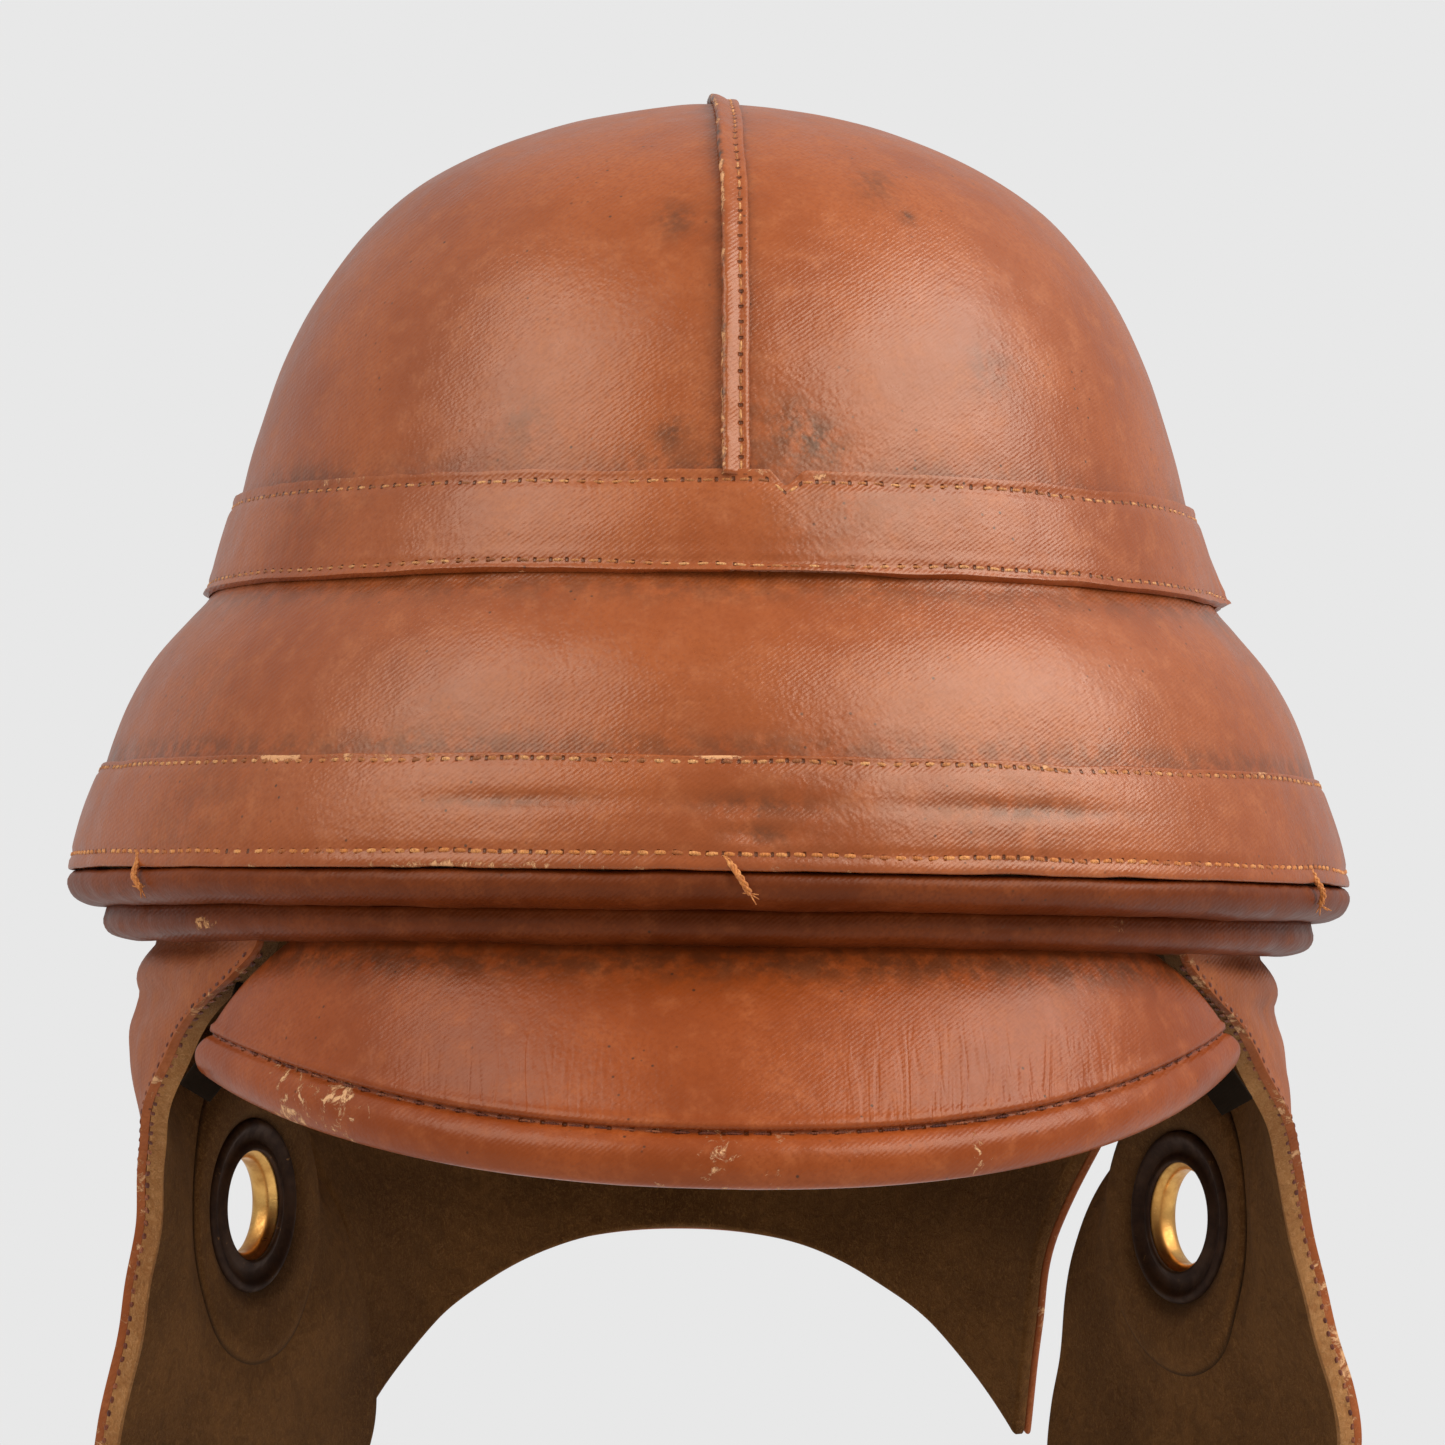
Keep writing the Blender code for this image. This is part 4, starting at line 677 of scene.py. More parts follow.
def plan_normal(half_width, angle):
    return Vector((half_length(half_width) * math.cos(angle), half_width * math.sin(angle), 0)).normalized()


def outline(shares, width, foot, rise, neck=0.0):
    """Half widths and heights from a table of shares."""
    return [(neck + width * wide, foot + rise * high) for wide, high in shares]


def between(line, low, high, count):
    """The stretch of an outline between two heights, from the top down."""
    kept = [p for p in line if low <= p.y <= high]
    if kept[0].y < kept[-1].y:
        kept.reverse()
    return resample(kept, count)


class Skin:
    """A surface carried round the oval: share runs along its outline, angle round it."""

    def __init__(self, line, lift=0.0, relief=None):
        self.line, self.lift, self.relief = line, lift, relief
        self.length = running_lengths(line)[-1]
        self.outward = []
        last = len(line) - 1
        for index, at in enumerate(line):
            along = line[min(index + 1, last)] - line[max(index - 1, 0)]
            out = Vector((-along.y, along.x)).normalized()
            self.outward.append(out if out.dot(at - Vector((0.05, 0.06))) > 0 else -out)

    def at(self, share):
        place = min(max(share, 0.0), 1.0) * (len(self.line) - 1)
        index = min(int(place), len(self.line) - 2)
        out = self.outward[index].lerp(self.outward[index + 1], place - index)
        return self.line[index].lerp(self.line[index + 1], place - index), out.normalized()

    def point(self, angle, share, rise=0.0):
        at, out = self.at(share)
        rise += self.lift
        if self.relief:
            rise += self.relief(angle, share, on_oval(at.x, angle, at.y))
        return on_oval(at.x + out.x * rise, angle, at.y + out.y * rise)

    def normal(self, angle, share):
        at, out = self.at(share)
        return (plan_normal(at.x, angle) * out.x + Vector((0, 0, out.y))).normalized()

    def rows(self, angles, shares):
        return [[self.point(angle, share) for angle in angles] for share in shares]


PAST_TOP = (-DOME_SHARES[-2][0] * CROWN_HALF_WIDTH, DOME_FOOT + DOME_SHARES[-2][1] * DOME_RISE)
DOME_LINE = curve_through(outline(DOME_SHARES, CROWN_HALF_WIDTH, DOME_FOOT, DOME_RISE), 220, PAST_TOP)
BELL_LINE = curve_through(outline(BELL_SHARES, BELL_FLARE, BELL_FOOT, BELL_TOP - BELL_FOOT, BELL_NECK), 200)


# Crown

# Stains on the crown's front: x, z, size and depth
STAINS = ((-0.011, 0.1405, 0.0040, 0.6), (0.011, 0.0990, 0.0060, 0.7), (0.017, 0.0965, 0.0040, 0.6),
          (0.0345, 0.1430, 0.0013, 1.0), (-0.012, 0.0980, 0.0030, 0.7), (0.028, 0.1500, 0.0040, 0.5),
          (0.050, 0.1130, 0.0060, 0.4), (-0.040, 0.1000, 0.0050, 0.4))


def dome_relief(angle, share, co):
    seam = near(co.x, 0.010)
    return 0.00040 * hum(co, 26, 3) + 0.00016 * hum(co, 75, 9) + seam * (0.0003 + 0.00022 * hum(co, 160, 5))


def crown_stain(co):
    """Stains on the front of the crown, and dirt along its foot and its seam."""
    total = 0.55 * near(co.z - 0.0905, 0.0045) * max(0.0, 0.4 + hum(co, 30, 7)) + 0.35 * near(co.x, 0.0045)
    if co.y < 0:
        for x, z, size, depth in STAINS:
            total += depth * near(math.hypot(co.x - x, co.z - z), size)
    return min(1.0, total)


def crown():
    """Two leathers over the dome, a hair apart under the strip that covers their seam."""
    skin = Skin(between(DOME_LINE, CROWN_SKIN_FOOT, 1.0, 160), 0.0, dome_relief)
    for side, mirror in SIDES:
        rows = []
        for share in spread(0.0, 1.0, 80):
            row = []
            for angle in spread(-math.pi / 2, math.pi / 2, 130):
                at = skin.point(angle if mirror == 1 else math.pi - angle, share)
                at.x = mirror * max(mirror * at.x, SEAM_GAP)
                row.append(at)
            rows.append(row)
        made = thick(grid_piece(f"dome_leather_{side}", rows), SKIN_THICKNESS)
        dress(made, TAN, "helmet", "tan_leather", (f"crown_leather_{side}",),
              dark=lambda v: crown_stain(v.co), wear=uneven(0.10, 0.08, 18, 31))
    return skin


SEAM_SECTION = ((-0.00235, 0.0001), (-0.00255, 0.0010), (-0.00215, 0.00185), (-0.0013, 0.00180),
                (-0.0002, 0.00130), (0.0006, 0.00080), (0.0011, 0.00062), (0.0016, 0.00085),
                (0.0023, 0.00085), (0.0027, 0.0005), (0.0028, 0.0000))
SEAM_STITCHES_AT, SEAM_STITCHES_RISE = 0.0011, 0.00062


def seam_strip(skin):
    """The strip over the crown's seam: one edge is sewn down and the other stands up."""
    front = [(skin.point(FRONT, share), skin.normal(FRONT, share)) for share in spread(1.0, 0.0, 190)]
    front = [pair for pair in front if pair[0].z > SEAM_FOOT]
    back = [(Vector((p.x, -p.y, p.z)), Vector((n.x, -n.y, n.z))) for p, n in reversed(front)]
    rows, line, ups = [], [], []
    for at, up in front + back[1:]:
        at = Vector((0, at.y, at.z))
        up = Vector((0, up.y, up.z)).normalized()
        sway = 0.00035 * hum(at, 45, 8) + 0.00012 * hum(at, 300, 2)
        swell = 1 + 0.22 * hum(at, 120, 6)
        row = []
        for x, rise in SEAM_SECTION:
            ragged = 0.00022 * hum(at, 700, 4) if x < -0.001 else 0.0
            row.append(at + Vector((x + sway + ragged, 0, 0)) + up * (rise * swell + 0.0002))
        rows.append(row)
        line.append(at + Vector((SEAM_STITCHES_AT + sway, 0, 0)) + up * (SEAM_STITCHES_RISE * swell + 0.0002))
        ups.append(up)
    made = closed_up(grid_piece("seam_strip", rows, ring=True))
    count, width, lengths = stitch_count(line, CROWN_PITCH), len(SEAM_SECTION), running_lengths(line)
    # The raised left edge's side is painted dark, as painted shade along that edge; elsewhere "dark" is
    # blotches.
    dress(made, TAN, "helmet", "tan_leather", ("crown_seam_welt",),
          stitch=lambda v: lengths[v.index // width] / lengths[-1] * count,
          row=lambda v: ROW_OFFSET + (SEAM_SECTION[v.index % width][0] - SEAM_STITCHES_AT) * 1000,
          wear=lambda v: 0.12 + (0.17 if v.co.x < -0.0016 else 0.0) + 0.12 * hum(v.co, 90, 3),
          dark=lambda v: 0.9 if v.co.x < -0.0022 else 0.25 * max(0.0, hum(v.co, 60, 9)))
    stitches("seam_strip_stitches", line, ups, CROWN_PITCH, THREAD, radius=0.00030, seed=5, skip=0.10)


# Strips round the crown and the brim, and the bell between them


class Strip:
    """A strip sewn over a skin by two rows of stitches, from its start angle round to a lap over itself.

    sewn: how far the two rows are from the upper and the lower edge. dents, notches, sags and scuffs
    are places on it; foot_lift and tip raise its lower edge and its end.
    """

    def __init__(self, name, node, line, pitch, sewn, start, lap, seed, threads, dents=(), notches=(),
                 sags=(), scuffs=(), foot_lift=0.0, tip=0.0):
        self.name, self.node, self.pitch, self.sewn, self.seed = name, node, pitch, sewn, seed
        self.lap, self.start, self.end, self.threads = lap, start, start + math.tau + lap, threads
        self.dents, self.notches, self.sags, self.scuffs = dents, notches, sags, scuffs
        self.foot_lift, self.tip = foot_lift, tip
        self.skin = Skin(line, STRIP_LIFT, self.relief)
        self.angles = spread(start, self.end, 900)

    def from_row(self, share):
        """Distance from the nearer row of stitches."""
        if share < 0.5:
            return share * self.skin.length - self.sewn[0]
        return (1 - share) * self.skin.length - self.sewn[1]

    def relief(self, angle, share, co):
        """How far the strip stands out: waves, swell, laps, its end and dents."""
        rise = 0.00038 * hum(co, 30, self.seed) + 0.00016 * hum(co, 95, self.seed + 3)
        rise += 0.0005 * math.sin(math.pi * share) - 0.00040 * near(self.from_row(share), 0.0009)
        rise += self.foot_lift * smoothstep((share - 0.7) / 0.3)
        over = smoothstep((angle - self.end + self.lap * 1.35) / (self.lap * 0.6))
        under = 1 - smoothstep((angle - self.start - self.lap * 1.1) / (self.lap * 0.5))
        rise += 0.0008 * share * over - (0.0013 - 0.0008 * share) * under
        rise += self.tip * smoothstep((angle - self.end + 0.045) / 0.045) * smoothstep((share - 0.35) / 0.65)
        for at, width, height, depth, size in self.dents:
            rise -= depth * near(turned(angle, at), width) * near(co.z - height, size)
        return rise

    def wavy(self, angle, share):
        """A share moved by the waves, notches and sagging of the strip's edges."""
        around = Vector((math.cos(angle), math.sin(angle), 0))
        upper = 0.0007 * (hum(around, 5.0, self.seed) + 0.4 * hum(around, 17, self.seed + 1))
        lower = 0.0006 * (hum(around, 6.0, self.seed + 5) + 0.4 * hum(around, 15, self.seed + 2))
        for at, width, depth in self.notches:
            upper += depth * max(0.0, 1 - abs(turned(angle, at)) / width)
        for at, width, depth in self.sags:
            lower += depth * near(turned(angle, at), width)
        lower += self.tip * 0.7 * smoothstep((angle - self.end + 0.03) / 0.03)
        return share + (upper * (1 - share) ** 2 + lower * share ** 2) / self.skin.length

    def wear(self, v):
        edge = min(abs(v.co.z - self.skin.line[0].y), abs(v.co.z - self.skin.line[-1].y))
        total = 0.08 + 0.13 * near(edge, 0.0014) + 0.10 * hum(v.co, 22, self.seed + 8)
        if v.co.y < 0:
            for x, z, wide, tall, depth in self.scuffs:
                total += depth * near(v.co.x - x, wide) * near(v.co.z - z, tall)
        return total

    # Dark blotches, and painted shade in the dents.
    def dark(self, v):
        total = max(0.0, 0.35 * hum(v.co, 26, self.seed + 5))
        for at, width, height, _, size in self.dents:
            away = turned(math.atan2(v.co.y, v.co.x), at)
            total += 0.5 * near(away, width * 0.8) * near(v.co.z - height, size * 0.8)
        return min(total, 1.0)

    def build(self):
        """Makes the strip with its paint and its two rows of stitches."""
        length, shares = self.skin.length, spread(0.0, 1.0, 26)
        rows = [[self.skin.point(angle, self.wavy(angle, share)) for angle in self.angles]
                for share in shares]
        lines = []
        for share in (self.sewn[0] / length, 1 - self.sewn[1] / length):
            moved = [(angle, self.wavy(angle, share)) for angle in self.angles]
            lines.append(([self.skin.point(*at) for at in moved], [self.skin.normal(*at) for at in moved]))
        counts = [stitch_count(line, self.pitch) for line, _ in lines]
        made = grid_piece(self.name, rows)
        around = spread(0.0, 1.0, len(self.angles))
        phases = [turn * counts[0 if share < 0.5 else 1] for share in shares for turn in around]
        away = [ROW_OFFSET + self.from_row(share) * 1000 for share in shares for _ in around]
        store(made.data, "stitch", phases)
        store(made.data, "row", away)
        made = thick(made, STRIP_THICKNESS)
        dress(made, TAN, "helmet", "tan_leather", (self.node,), wear=self.wear, dark=self.dark)
        for number, (line, ups) in enumerate(lines):
            material, radius, fill = self.threads[number]
            stitches(f"{self.name}_stitches_{number + 1}", line, ups, self.pitch, material, radius=radius,
                     fill=fill, seed=self.seed + number, skip=0.04)
        return self


def crown_strip():
    """The strip over the joint of crown and bell."""
    over = [p for p in DOME_LINE if 0.079 < p.y < 0.095][::-1][::6]
    under = [p for p in BELL_LINE if p.y < 0.0735][::7]
    line = between(curve_through(over + under, 240), CROWN_STRIP_FOOT, CROWN_STRIP_TOP, 70)
    return Strip("crown_strip", "crown_band", line, CROWN_PITCH, (0.0022, 0.0021), -0.200, 0.112, 101,
                 threads=((THREAD, 0.00030, 0.72), (THREAD, 0.00030, 0.74)),
                 notches=((FRONT + 0.098, 0.035, 0.0036), (FRONT - 0.25, 0.15, 0.0006)),
                 sags=((FRONT + 0.10, 0.24, 0.0011), (FRONT - 0.42, 0.20, -0.0006),
                       (FRONT + 0.55, 0.22, -0.0007)),
                 scuffs=((0.0045, 0.0885, 0.003, 0.0008, 0.22), (0.0160, 0.0895, 0.003, 0.0008, 0.22)),
                 foot_lift=0.0006, tip=0.0012).build()


def brim_strip():
    """The strip round the foot of the bell."""
    line = between(BELL_LINE, BELL_FOOT, BRIM_STRIP_TOP, 60)
    line = resample(line + [Vector((line[-1].x + 0.0001, BRIM_STRIP_FOOT))], 70)
    dents = ((FRONT + 0.02, 0.10, 0.0268, 0.0011, 0.0022), (FRONT + 0.03, 0.05, 0.0215, 0.0009, 0.0020),
             (FRONT - 0.30, 0.14, 0.0272, 0.0007, 0.0016), (FRONT + 0.42, 0.18, 0.0268, 0.0006, 0.0018))
    scuffs = ((-0.0045, 0.0365, 0.004, 0.0010, 0.30), (-0.085, 0.0355, 0.006, 0.0009, 0.24),
              (0.060, 0.0350, 0.005, 0.0008, 0.20), (-0.05, 0.0157, 0.02, 0.0008, 0.12))
    return Strip("brim_strip", "brim_band", line, BRIM_PITCH, (0.0012, 0.0030), math.pi / 2, 0.08, 202,
                 threads=((THREAD, 0.00042, 0.72), (THREAD_ORANGE, 0.00044, 0.86)), dents=dents,
                 scuffs=scuffs).build()


def bell():
    """The flared skin under and between the two strips."""
    skin = Skin(BELL_LINE, 0.0, lambda angle, share, co: 0.00050 * hum(co, 24, 14) + 0.00018 * hum(co, 80, 2))
    made = grid_piece("bell_skin", skin.rows(turns(360), spread(0, 1, 50)), ring=True)
    made = thick(made, SKIN_THICKNESS)
    # Painted shadow in a line under the crown strip's lower edge, a darker line just above the brim strip's
    # top edge, and dark blotches.
    dress(made, TAN, "helmet", "tan_leather", ("bell_leather",),
          dark=lambda v: 0.35 * near(v.co.z - 0.0685, 0.0030) + 0.40 * near(v.co.z - 0.0375, 0.003)
          + max(0.0, 0.35 * hum(v.co, 24, 41)),
          wear=uneven(0.08, 0.08, 22, 17))


# Rolls at the brim's edge

# Sections of the rolls' covers: half width and height
OUTER_ROLL_SECTION = ((0.1192, 0.0140), (0.1262, 0.0149), (0.1292, 0.0147), (0.1306, 0.0132),
                      (0.1305, 0.0112), (0.1290, 0.0090), (0.1255, 0.0077), (0.1212, 0.0077),
                      (0.1188, 0.0100))
INNER_ROLL_SECTION = ((0.1130, 0.0074), (0.1190, 0.0081), (0.1222, 0.0080), (0.1229, 0.0062),
                      (0.1233, 0.0042), (0.1222, 0.0022), (0.1195, 0.0011), (0.1155, 0.0006),
                      (0.1122, 0.0012), (0.1116, 0.0045))
# Rubbed places on the rolls: x, z, width and depth
ROLL_SCUFFS = ((-0.100, 0.004, 0.0035, 0.25), (-0.026, 0.0115, 0.0060, 0.17), (-0.090, 0.0115, 0.004, 0.12),
               (0.075, 0.0055, 0.006, 0.12), (0.116, 0.0115, 0.004, 0.20))
TIE_DEGREES = (-61, -1, 63, 120, 180, 240)
PLY_RADIUS, PLY_TWIST_RADIUS, FRAYED_ENDS = 0.00040, 0.00032, 7


def roll_wear(co, seed):
    total = 0.06 + 0.10 * hum(co, 40, seed)
    if co.y < 0:
        for x, z, wide, depth in ROLL_SCUFFS:
            total += depth * near(co.x - x, wide) * near(co.z - z, 0.003)
    return total


def rolls():
    """The covers of the two rolls at the brim's edge."""
    for name, node, section, seed in (("outer_roll_cover", "outer_edge_roll", OUTER_ROLL_SECTION, 21),
                                      ("inner_roll_cover", "inner_edge_roll", INNER_ROLL_SECTION, 37)):
        loop = curve_through(section, 34, closed=True)
        middle = sum(loop, Vector((0, 0))) / len(loop)
        rows = []
        for at in loop:
            out = (at - middle).normalized()
            row = []
            for angle in turns(600):
                co = on_oval(at.x, angle, at.y)
                grow = 0.00035 * hum(co, 55, seed) + 0.00014 * hum(co, 240, seed) - 0.0001
                sag = 0.0003 * hum(Vector((math.cos(angle), math.sin(angle), 0)), 5, seed)
                row.append(on_oval(at.x + out.x * grow, angle, at.y + out.y * grow + sag))
            rows.append(row)
        made = closed_up(grid_piece(name, rows, ring=True, wrap=True))
        dress(made, TAN_ROLL, "helmet", "tan_leather", (node,),
              wear=lambda v, seed=seed: roll_wear(v.co, seed))


def ties(strip):
    """Frayed ends of thread that tie the rolls to the brim's foot."""
    for number, degrees in enumerate(TIE_DEGREES):
        luck = random.Random(50 + number)
        angle = FRONT + math.radians(degrees)
        slant = luck.uniform(0.034, 0.044) if degrees < 62 else luck.uniform(0.004, 0.014)
        route = (strip.skin.point(angle, 0.86, 0.0002), strip.skin.point(angle + slant * 0.35, 0.96, 0.0005),
                 on_oval(0.1320, angle + slant * 0.7, 0.0132), on_oval(0.1313, angle + slant, 0.0108))
        line = curve_through(route, 16)
        bm = bmesh.new()
        for first in turns(3):
            ply = []
            for step, at in enumerate(line):
                turn = first + 0.9 * step
                away = Vector((math.cos(turn), 0.6 * math.sin(turn), math.sin(turn)))
                ply.append(at + away * PLY_TWIST_RADIUS)
            add_tube(bm, ply, [PLY_RADIUS] * len(ply), 6)
        out = plan_normal(0.131, angle)
        for _ in range(FRAYED_ENDS):
            tip = line[-1] + out * luck.uniform(0.0002, 0.0012)
            tip += Vector((luck.uniform(-0.0018, 0.0018), 0, luck.uniform(-0.0022, 0.0004)))
            add_tube(bm, curve_through((line[-3], line[-1], tip), 6), spread(0.0002, 0.0001, 6), 5)
        dress(bm_piece(f"roll_tie_{number + 1}", bm), THREAD_ORANGE, "helmet", "tan_leather",
              tone=lambda v: 0.5 + 0.5 * hum(v.co, 900, 3))


# Curtain


def raw_flap(across, height):
    """The left flap's outer face before its ear part is flattened; across runs from front to rear."""
    share = -height / FLAP_DROP
    front_x, front_y, rear_x, rear_y, oval = table_at(FLAP_ROWS, share)
    puff = lerp(ROOT_PUFF, table_at(PUFF_ROWS, share)[0], smoothstep(across / PUFF_FADE))
    wide, long = CURTAIN_HALF_WIDTH, half_length(CURTAIN_HALF_WIDTH)
    start, end = math.atan2(front_y, front_x), math.atan2(rear_y, rear_x)
    swell = lerp(math.hypot(front_x, front_y), math.hypot(rear_x, rear_y), across)
    swell = swell * oval + (1 - oval)
    angle = lerp(start, end, across)
    curved = Vector((wide * swell * puff * math.cos(angle), long * swell * puff * math.sin(angle), height))
    front = Vector((wide * front_x, long * front_y, height))
    rear = Vector((wide * rear_x, long * rear_y, height))
    return front.lerp(rear, across).lerp(curved, oval)


def facing(surface, across, height, step=0.01):
    """Unit normal of a curtain's surface, away from the head."""
    drop = FLAP_DROP * step
    along = surface(across + step, height) - surface(across - step, height)
    down = surface(across, height - drop) - surface(across, height + drop)
    return down.cross(along).normalized()


def ear_frame():
    """Place of the left ear hole: X along the flap, Y up, Z out."""
    centre = raw_flap(EAR_ACROSS, EAR_HEIGHT)
    slant = facing(raw_flap, EAR_ACROSS, EAR_HEIGHT, EAR_SLOPE)
    out = Matrix.Rotation(math.radians(EAR_TURN_DEGREES), 3, "Z") @ Vector((slant.x, slant.y, 0)).normalized()
    up = Vector((0, 0, 1))
    return axes(centre, up.cross(out), up, out)


FLIP = Matrix.Scale(-1, 4, Vector((1, 0, 0)))
EAR = ear_frame()
EAR_BACK = EAR.inverted()


def ear_distance(at):
    return (EAR_BACK @ at).xy.length


def flap(across, height):
    """The flap's outer face: flat round the ear hole and a little wavy elsewhere."""
    raw = raw_flap(across, height)
    out = EAR.col[2].xyz
    keep = smoothstep((ear_distance(raw) - FLAT_RADIUS) / FLAT_FADE)
    wave = 0.0011 * hum(raw, 24, 51) + 0.0004 * hum(raw, 70, 12)
    wave *= smoothstep(-height / 0.02) * smoothstep((FLAP_DROP + height) / 0.02) * keep
    return raw - out * (EAR_BACK @ raw).z * (1 - keep) + out * wave


def hung(at, mirror):
    """A point of the left flap carried to its own side, where that flap bows a little out or in."""
    rows = BOW_ROWS[mirror]
    keep = smoothstep((ear_distance(at) - FLAT_RADIUS) / FLAT_FADE)
    bow = lerp(table_at(rows, -EAR_HEIGHT / FLAP_DROP)[0], table_at(rows, -at.z / FLAP_DROP)[0], keep)
    return Vector((mirror * (at.x + bow), at.y, at.z))


def flap_foot(across):
    return -FLAP_DROP


def nape(across, height):
    """The nape curtain's outer face; across runs from the left flap's slit to the right one's."""
    wide_share, long_share, edge = table_at(NAPE_ROWS, -height / NAPE_SIDE_DROP)
    edge -= 0.35
    angle = math.radians(lerp(edge, 180 - edge, across))
    wide, long = CURTAIN_HALF_WIDTH * wide_share, half_length(CURTAIN_HALF_WIDTH) * long_share
    at = Vector((wide * math.cos(angle), long * math.sin(angle), height))
    wave = (0.0013 * hum(at, 22, 61) + 0.0005 * hum(at, 60, 4)) * smoothstep(-height / 0.03)
    return at + Vector((math.cos(angle), math.sin(angle), 0)) * wave


def nape_foot(across):
    return -lerp(NAPE_CENTRE_DROP, NAPE_SIDE_DROP, abs(2 * across - 1) ** NAPE_ARCH_POWER)


def hanging(name, surface, foot, depth, thickness, columns, rows, mirror=1, edge=0.0006, grow=0.0,
            hole=False):
    """A hanging sheet, a depth below a surface, and its flat size; grow widens it past the edges."""
    grid, along, walls = [], [], []
    for row in range(rows + 1):
        line = []
        for column in range(columns + 1):
            across = lerp(-grow, 1 + grow, column / columns)
            within = min(max(across, 0.0), 1.0)
            height = lerp(CURTAIN_TOP, foot(within), row / rows)
            at = surface(across, height)
            full = smoothstep((ear_distance(at) - THINNED_RADIUS) / THINNED_FADE)
            walls.append(lerp(THINNED_SHARE, 1.0, full))
            line.append(at - facing(surface, within, height) * depth)
            along.append(across)
        grid.append(line)
    flat = [max(running_lengths(line)[-1] for line in lines) for lines in (grid, zip(*grid))]
    made = grid_piece(name, grid)
    store(made.data, "along", along)
    if hole:
        walls = open_hole(made, walls)
        for vert in made.data.vertices:
            vert.co = hung(vert.co, mirror)
    return thick(made, thickness, Vector((0, 0, -0.05)), edge, walls if hole and depth else None), flat


def open_hole(made, walls):
    """Opens a flap's sheet round the ear hole, under the fittings, and gives the walls that are left."""
    with editing(made) as bm:
        wall = bm.verts.layers.float.new("wall")
        for vert, value in zip(bm.verts, walls):
            vert[wall] = value
        local = {vert: EAR_BACK @ vert.co for vert in bm.verts}
        reach = HOLE_RADIUS * 1.1
        near_hole = {vert for vert, at in local.items() if at.xy.length < reach and abs(at.z) < 0.02}
        cut_faces(bm, [face for face in bm.faces if near_hole.issuperset(face.verts)])
        for vert in bm.verts:
            if vert.is_boundary and local[vert].xy.length < HOLE_RADIUS * 2:
                flat = local[vert].xy.normalized() * HOLE_RADIUS
                vert.co = EAR @ Vector((flat.x, flat.y, local[vert].z))
        left = [vert[wall] for vert in bm.verts]
    return left


def declare_sheet(made, flat):
    """Works out a thin closed piece's flat width and length, and its area as half of its surface capped by
    them; nothing uses the results.
    """
    area = sum(f.area for f in made.data.polygons) / 2
    width, length = (round(size, 3) for size in flat)
    area = round(min(area, width * length), 5)


def flap_edge(name, mirror, across, depth, radius, fill, seed):
    """A row of dark stitches down a flap's front edge, a depth below its outer face."""
    line, ups = [], []
    for height in spread(-0.001, -FLAP_DROP + 0.002, 180):
        line.append(hung(flap(across, height) - facing(flap, 0.02, height) * depth, mirror))
        up = facing(flap, 0.02, height) if across > 0 else flap(0.0, height) - flap(0.02, height)
        ups.append(flipped(up.normalized(), mirror))
    return stitches(name, line, ups, FLAP_PITCH, THREAD_DARK, None, radius=radius, fill=fill, seed=seed)


def flap_wear(co, along):
    edge = 0.20 * near(min(along, 1 - along), 0.012)
    crease = 0.16 * near(co.z + 0.012, 0.004) * max(0.0, hum(co, 90, 5))
    return 0.08 + edge + crease + 0.10 * hum(co, 30, 23)


def flap_leather(side, mirror):
    """A flap's outer sheet, from under the inner roll down to the tip."""
    piece, flat = hanging(f"flap_leather_{side}", flap, flap_foot, 0.0, CURTAIN_LEATHER, 96, 120, mirror,
                          grow=0.003, hole=True)
    along = stored(piece.data, "along")
    dress(piece, TAN_CURTAIN, None, "tan_leather", (f"ear_flap_leather_{side}", f"flap_root_leather_{side}"),
          wear=lambda v: flap_wear(v.co, along[v.index]), dark=blotches(0.25, 30, 15))
    declare_sheet(piece, flat)
    return piece


def flap_felt(side, mirror):
    """A flap's lining, with a paler cut edge at the front."""
    piece, flat = hanging(f"flap_felt_{side}", flap, flap_foot, FELT_DEPTH, CURTAIN_FELT, 96, 120, mirror,
                          0.0011, 0.004, True)
    along = stored(piece.data, "along")
    blotch = blotches(0.25, 28, 3)
    # The lining is darkened towards its top with painted shade, where it runs up under the rolls, and has
    # dark blotches.
    dress(piece, FELT, None, "lining_felt", (f"ear_flap_lining_{side}", f"flap_root_lining_{side}"),
          dark=lambda v: blotch(v) + 0.6 * smoothstep((v.co.z + 0.030) / 0.03))
    piece.data.materials.append(FELT_EDGE)
    for face in piece.data.polygons:
        if min(along[index] for index in face.vertices) < 0.003:
            face.material_index = 1
    declare_sheet(piece, flat)
    return piece


# Rows of stitches down a flap's front edge: name, share across, depth, radius, fill and seed
FLAP_SEWING = (("stitches", 0.010, 0.0, 0.00034, 0.62, 31),
               ("edge_stitches", -0.0035, CURTAIN_LEATHER + 0.0004, 0.00045, 0.55, 47))


def flaps():
    """Makes each flap's sheets and the rows of stitches down its front edge, bakes their placement into their
    meshes, and adds the flap's ear patch.
    """
    for side, mirror in SIDES:
        made = [flap_leather(side, mirror), flap_felt(side, mirror)]
        made += [flap_edge(f"flap_{kind}_{side}", mirror, *values) for kind, *values in FLAP_SEWING]
        for piece in made:
            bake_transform(piece)
        patch(side, mirror)


def nearest_across(at):
    """Share across the flap of its point nearest to a point, at the same height."""
    low, high = 0.0, 1.0
    for _ in range(22):
        third = (high - low) / 3
        if (flap(low + third, at.z) - at).length < (flap(high - third, at.z) - at).length:
            high -= third
        else:
            low += third
    return (low + high) / 2


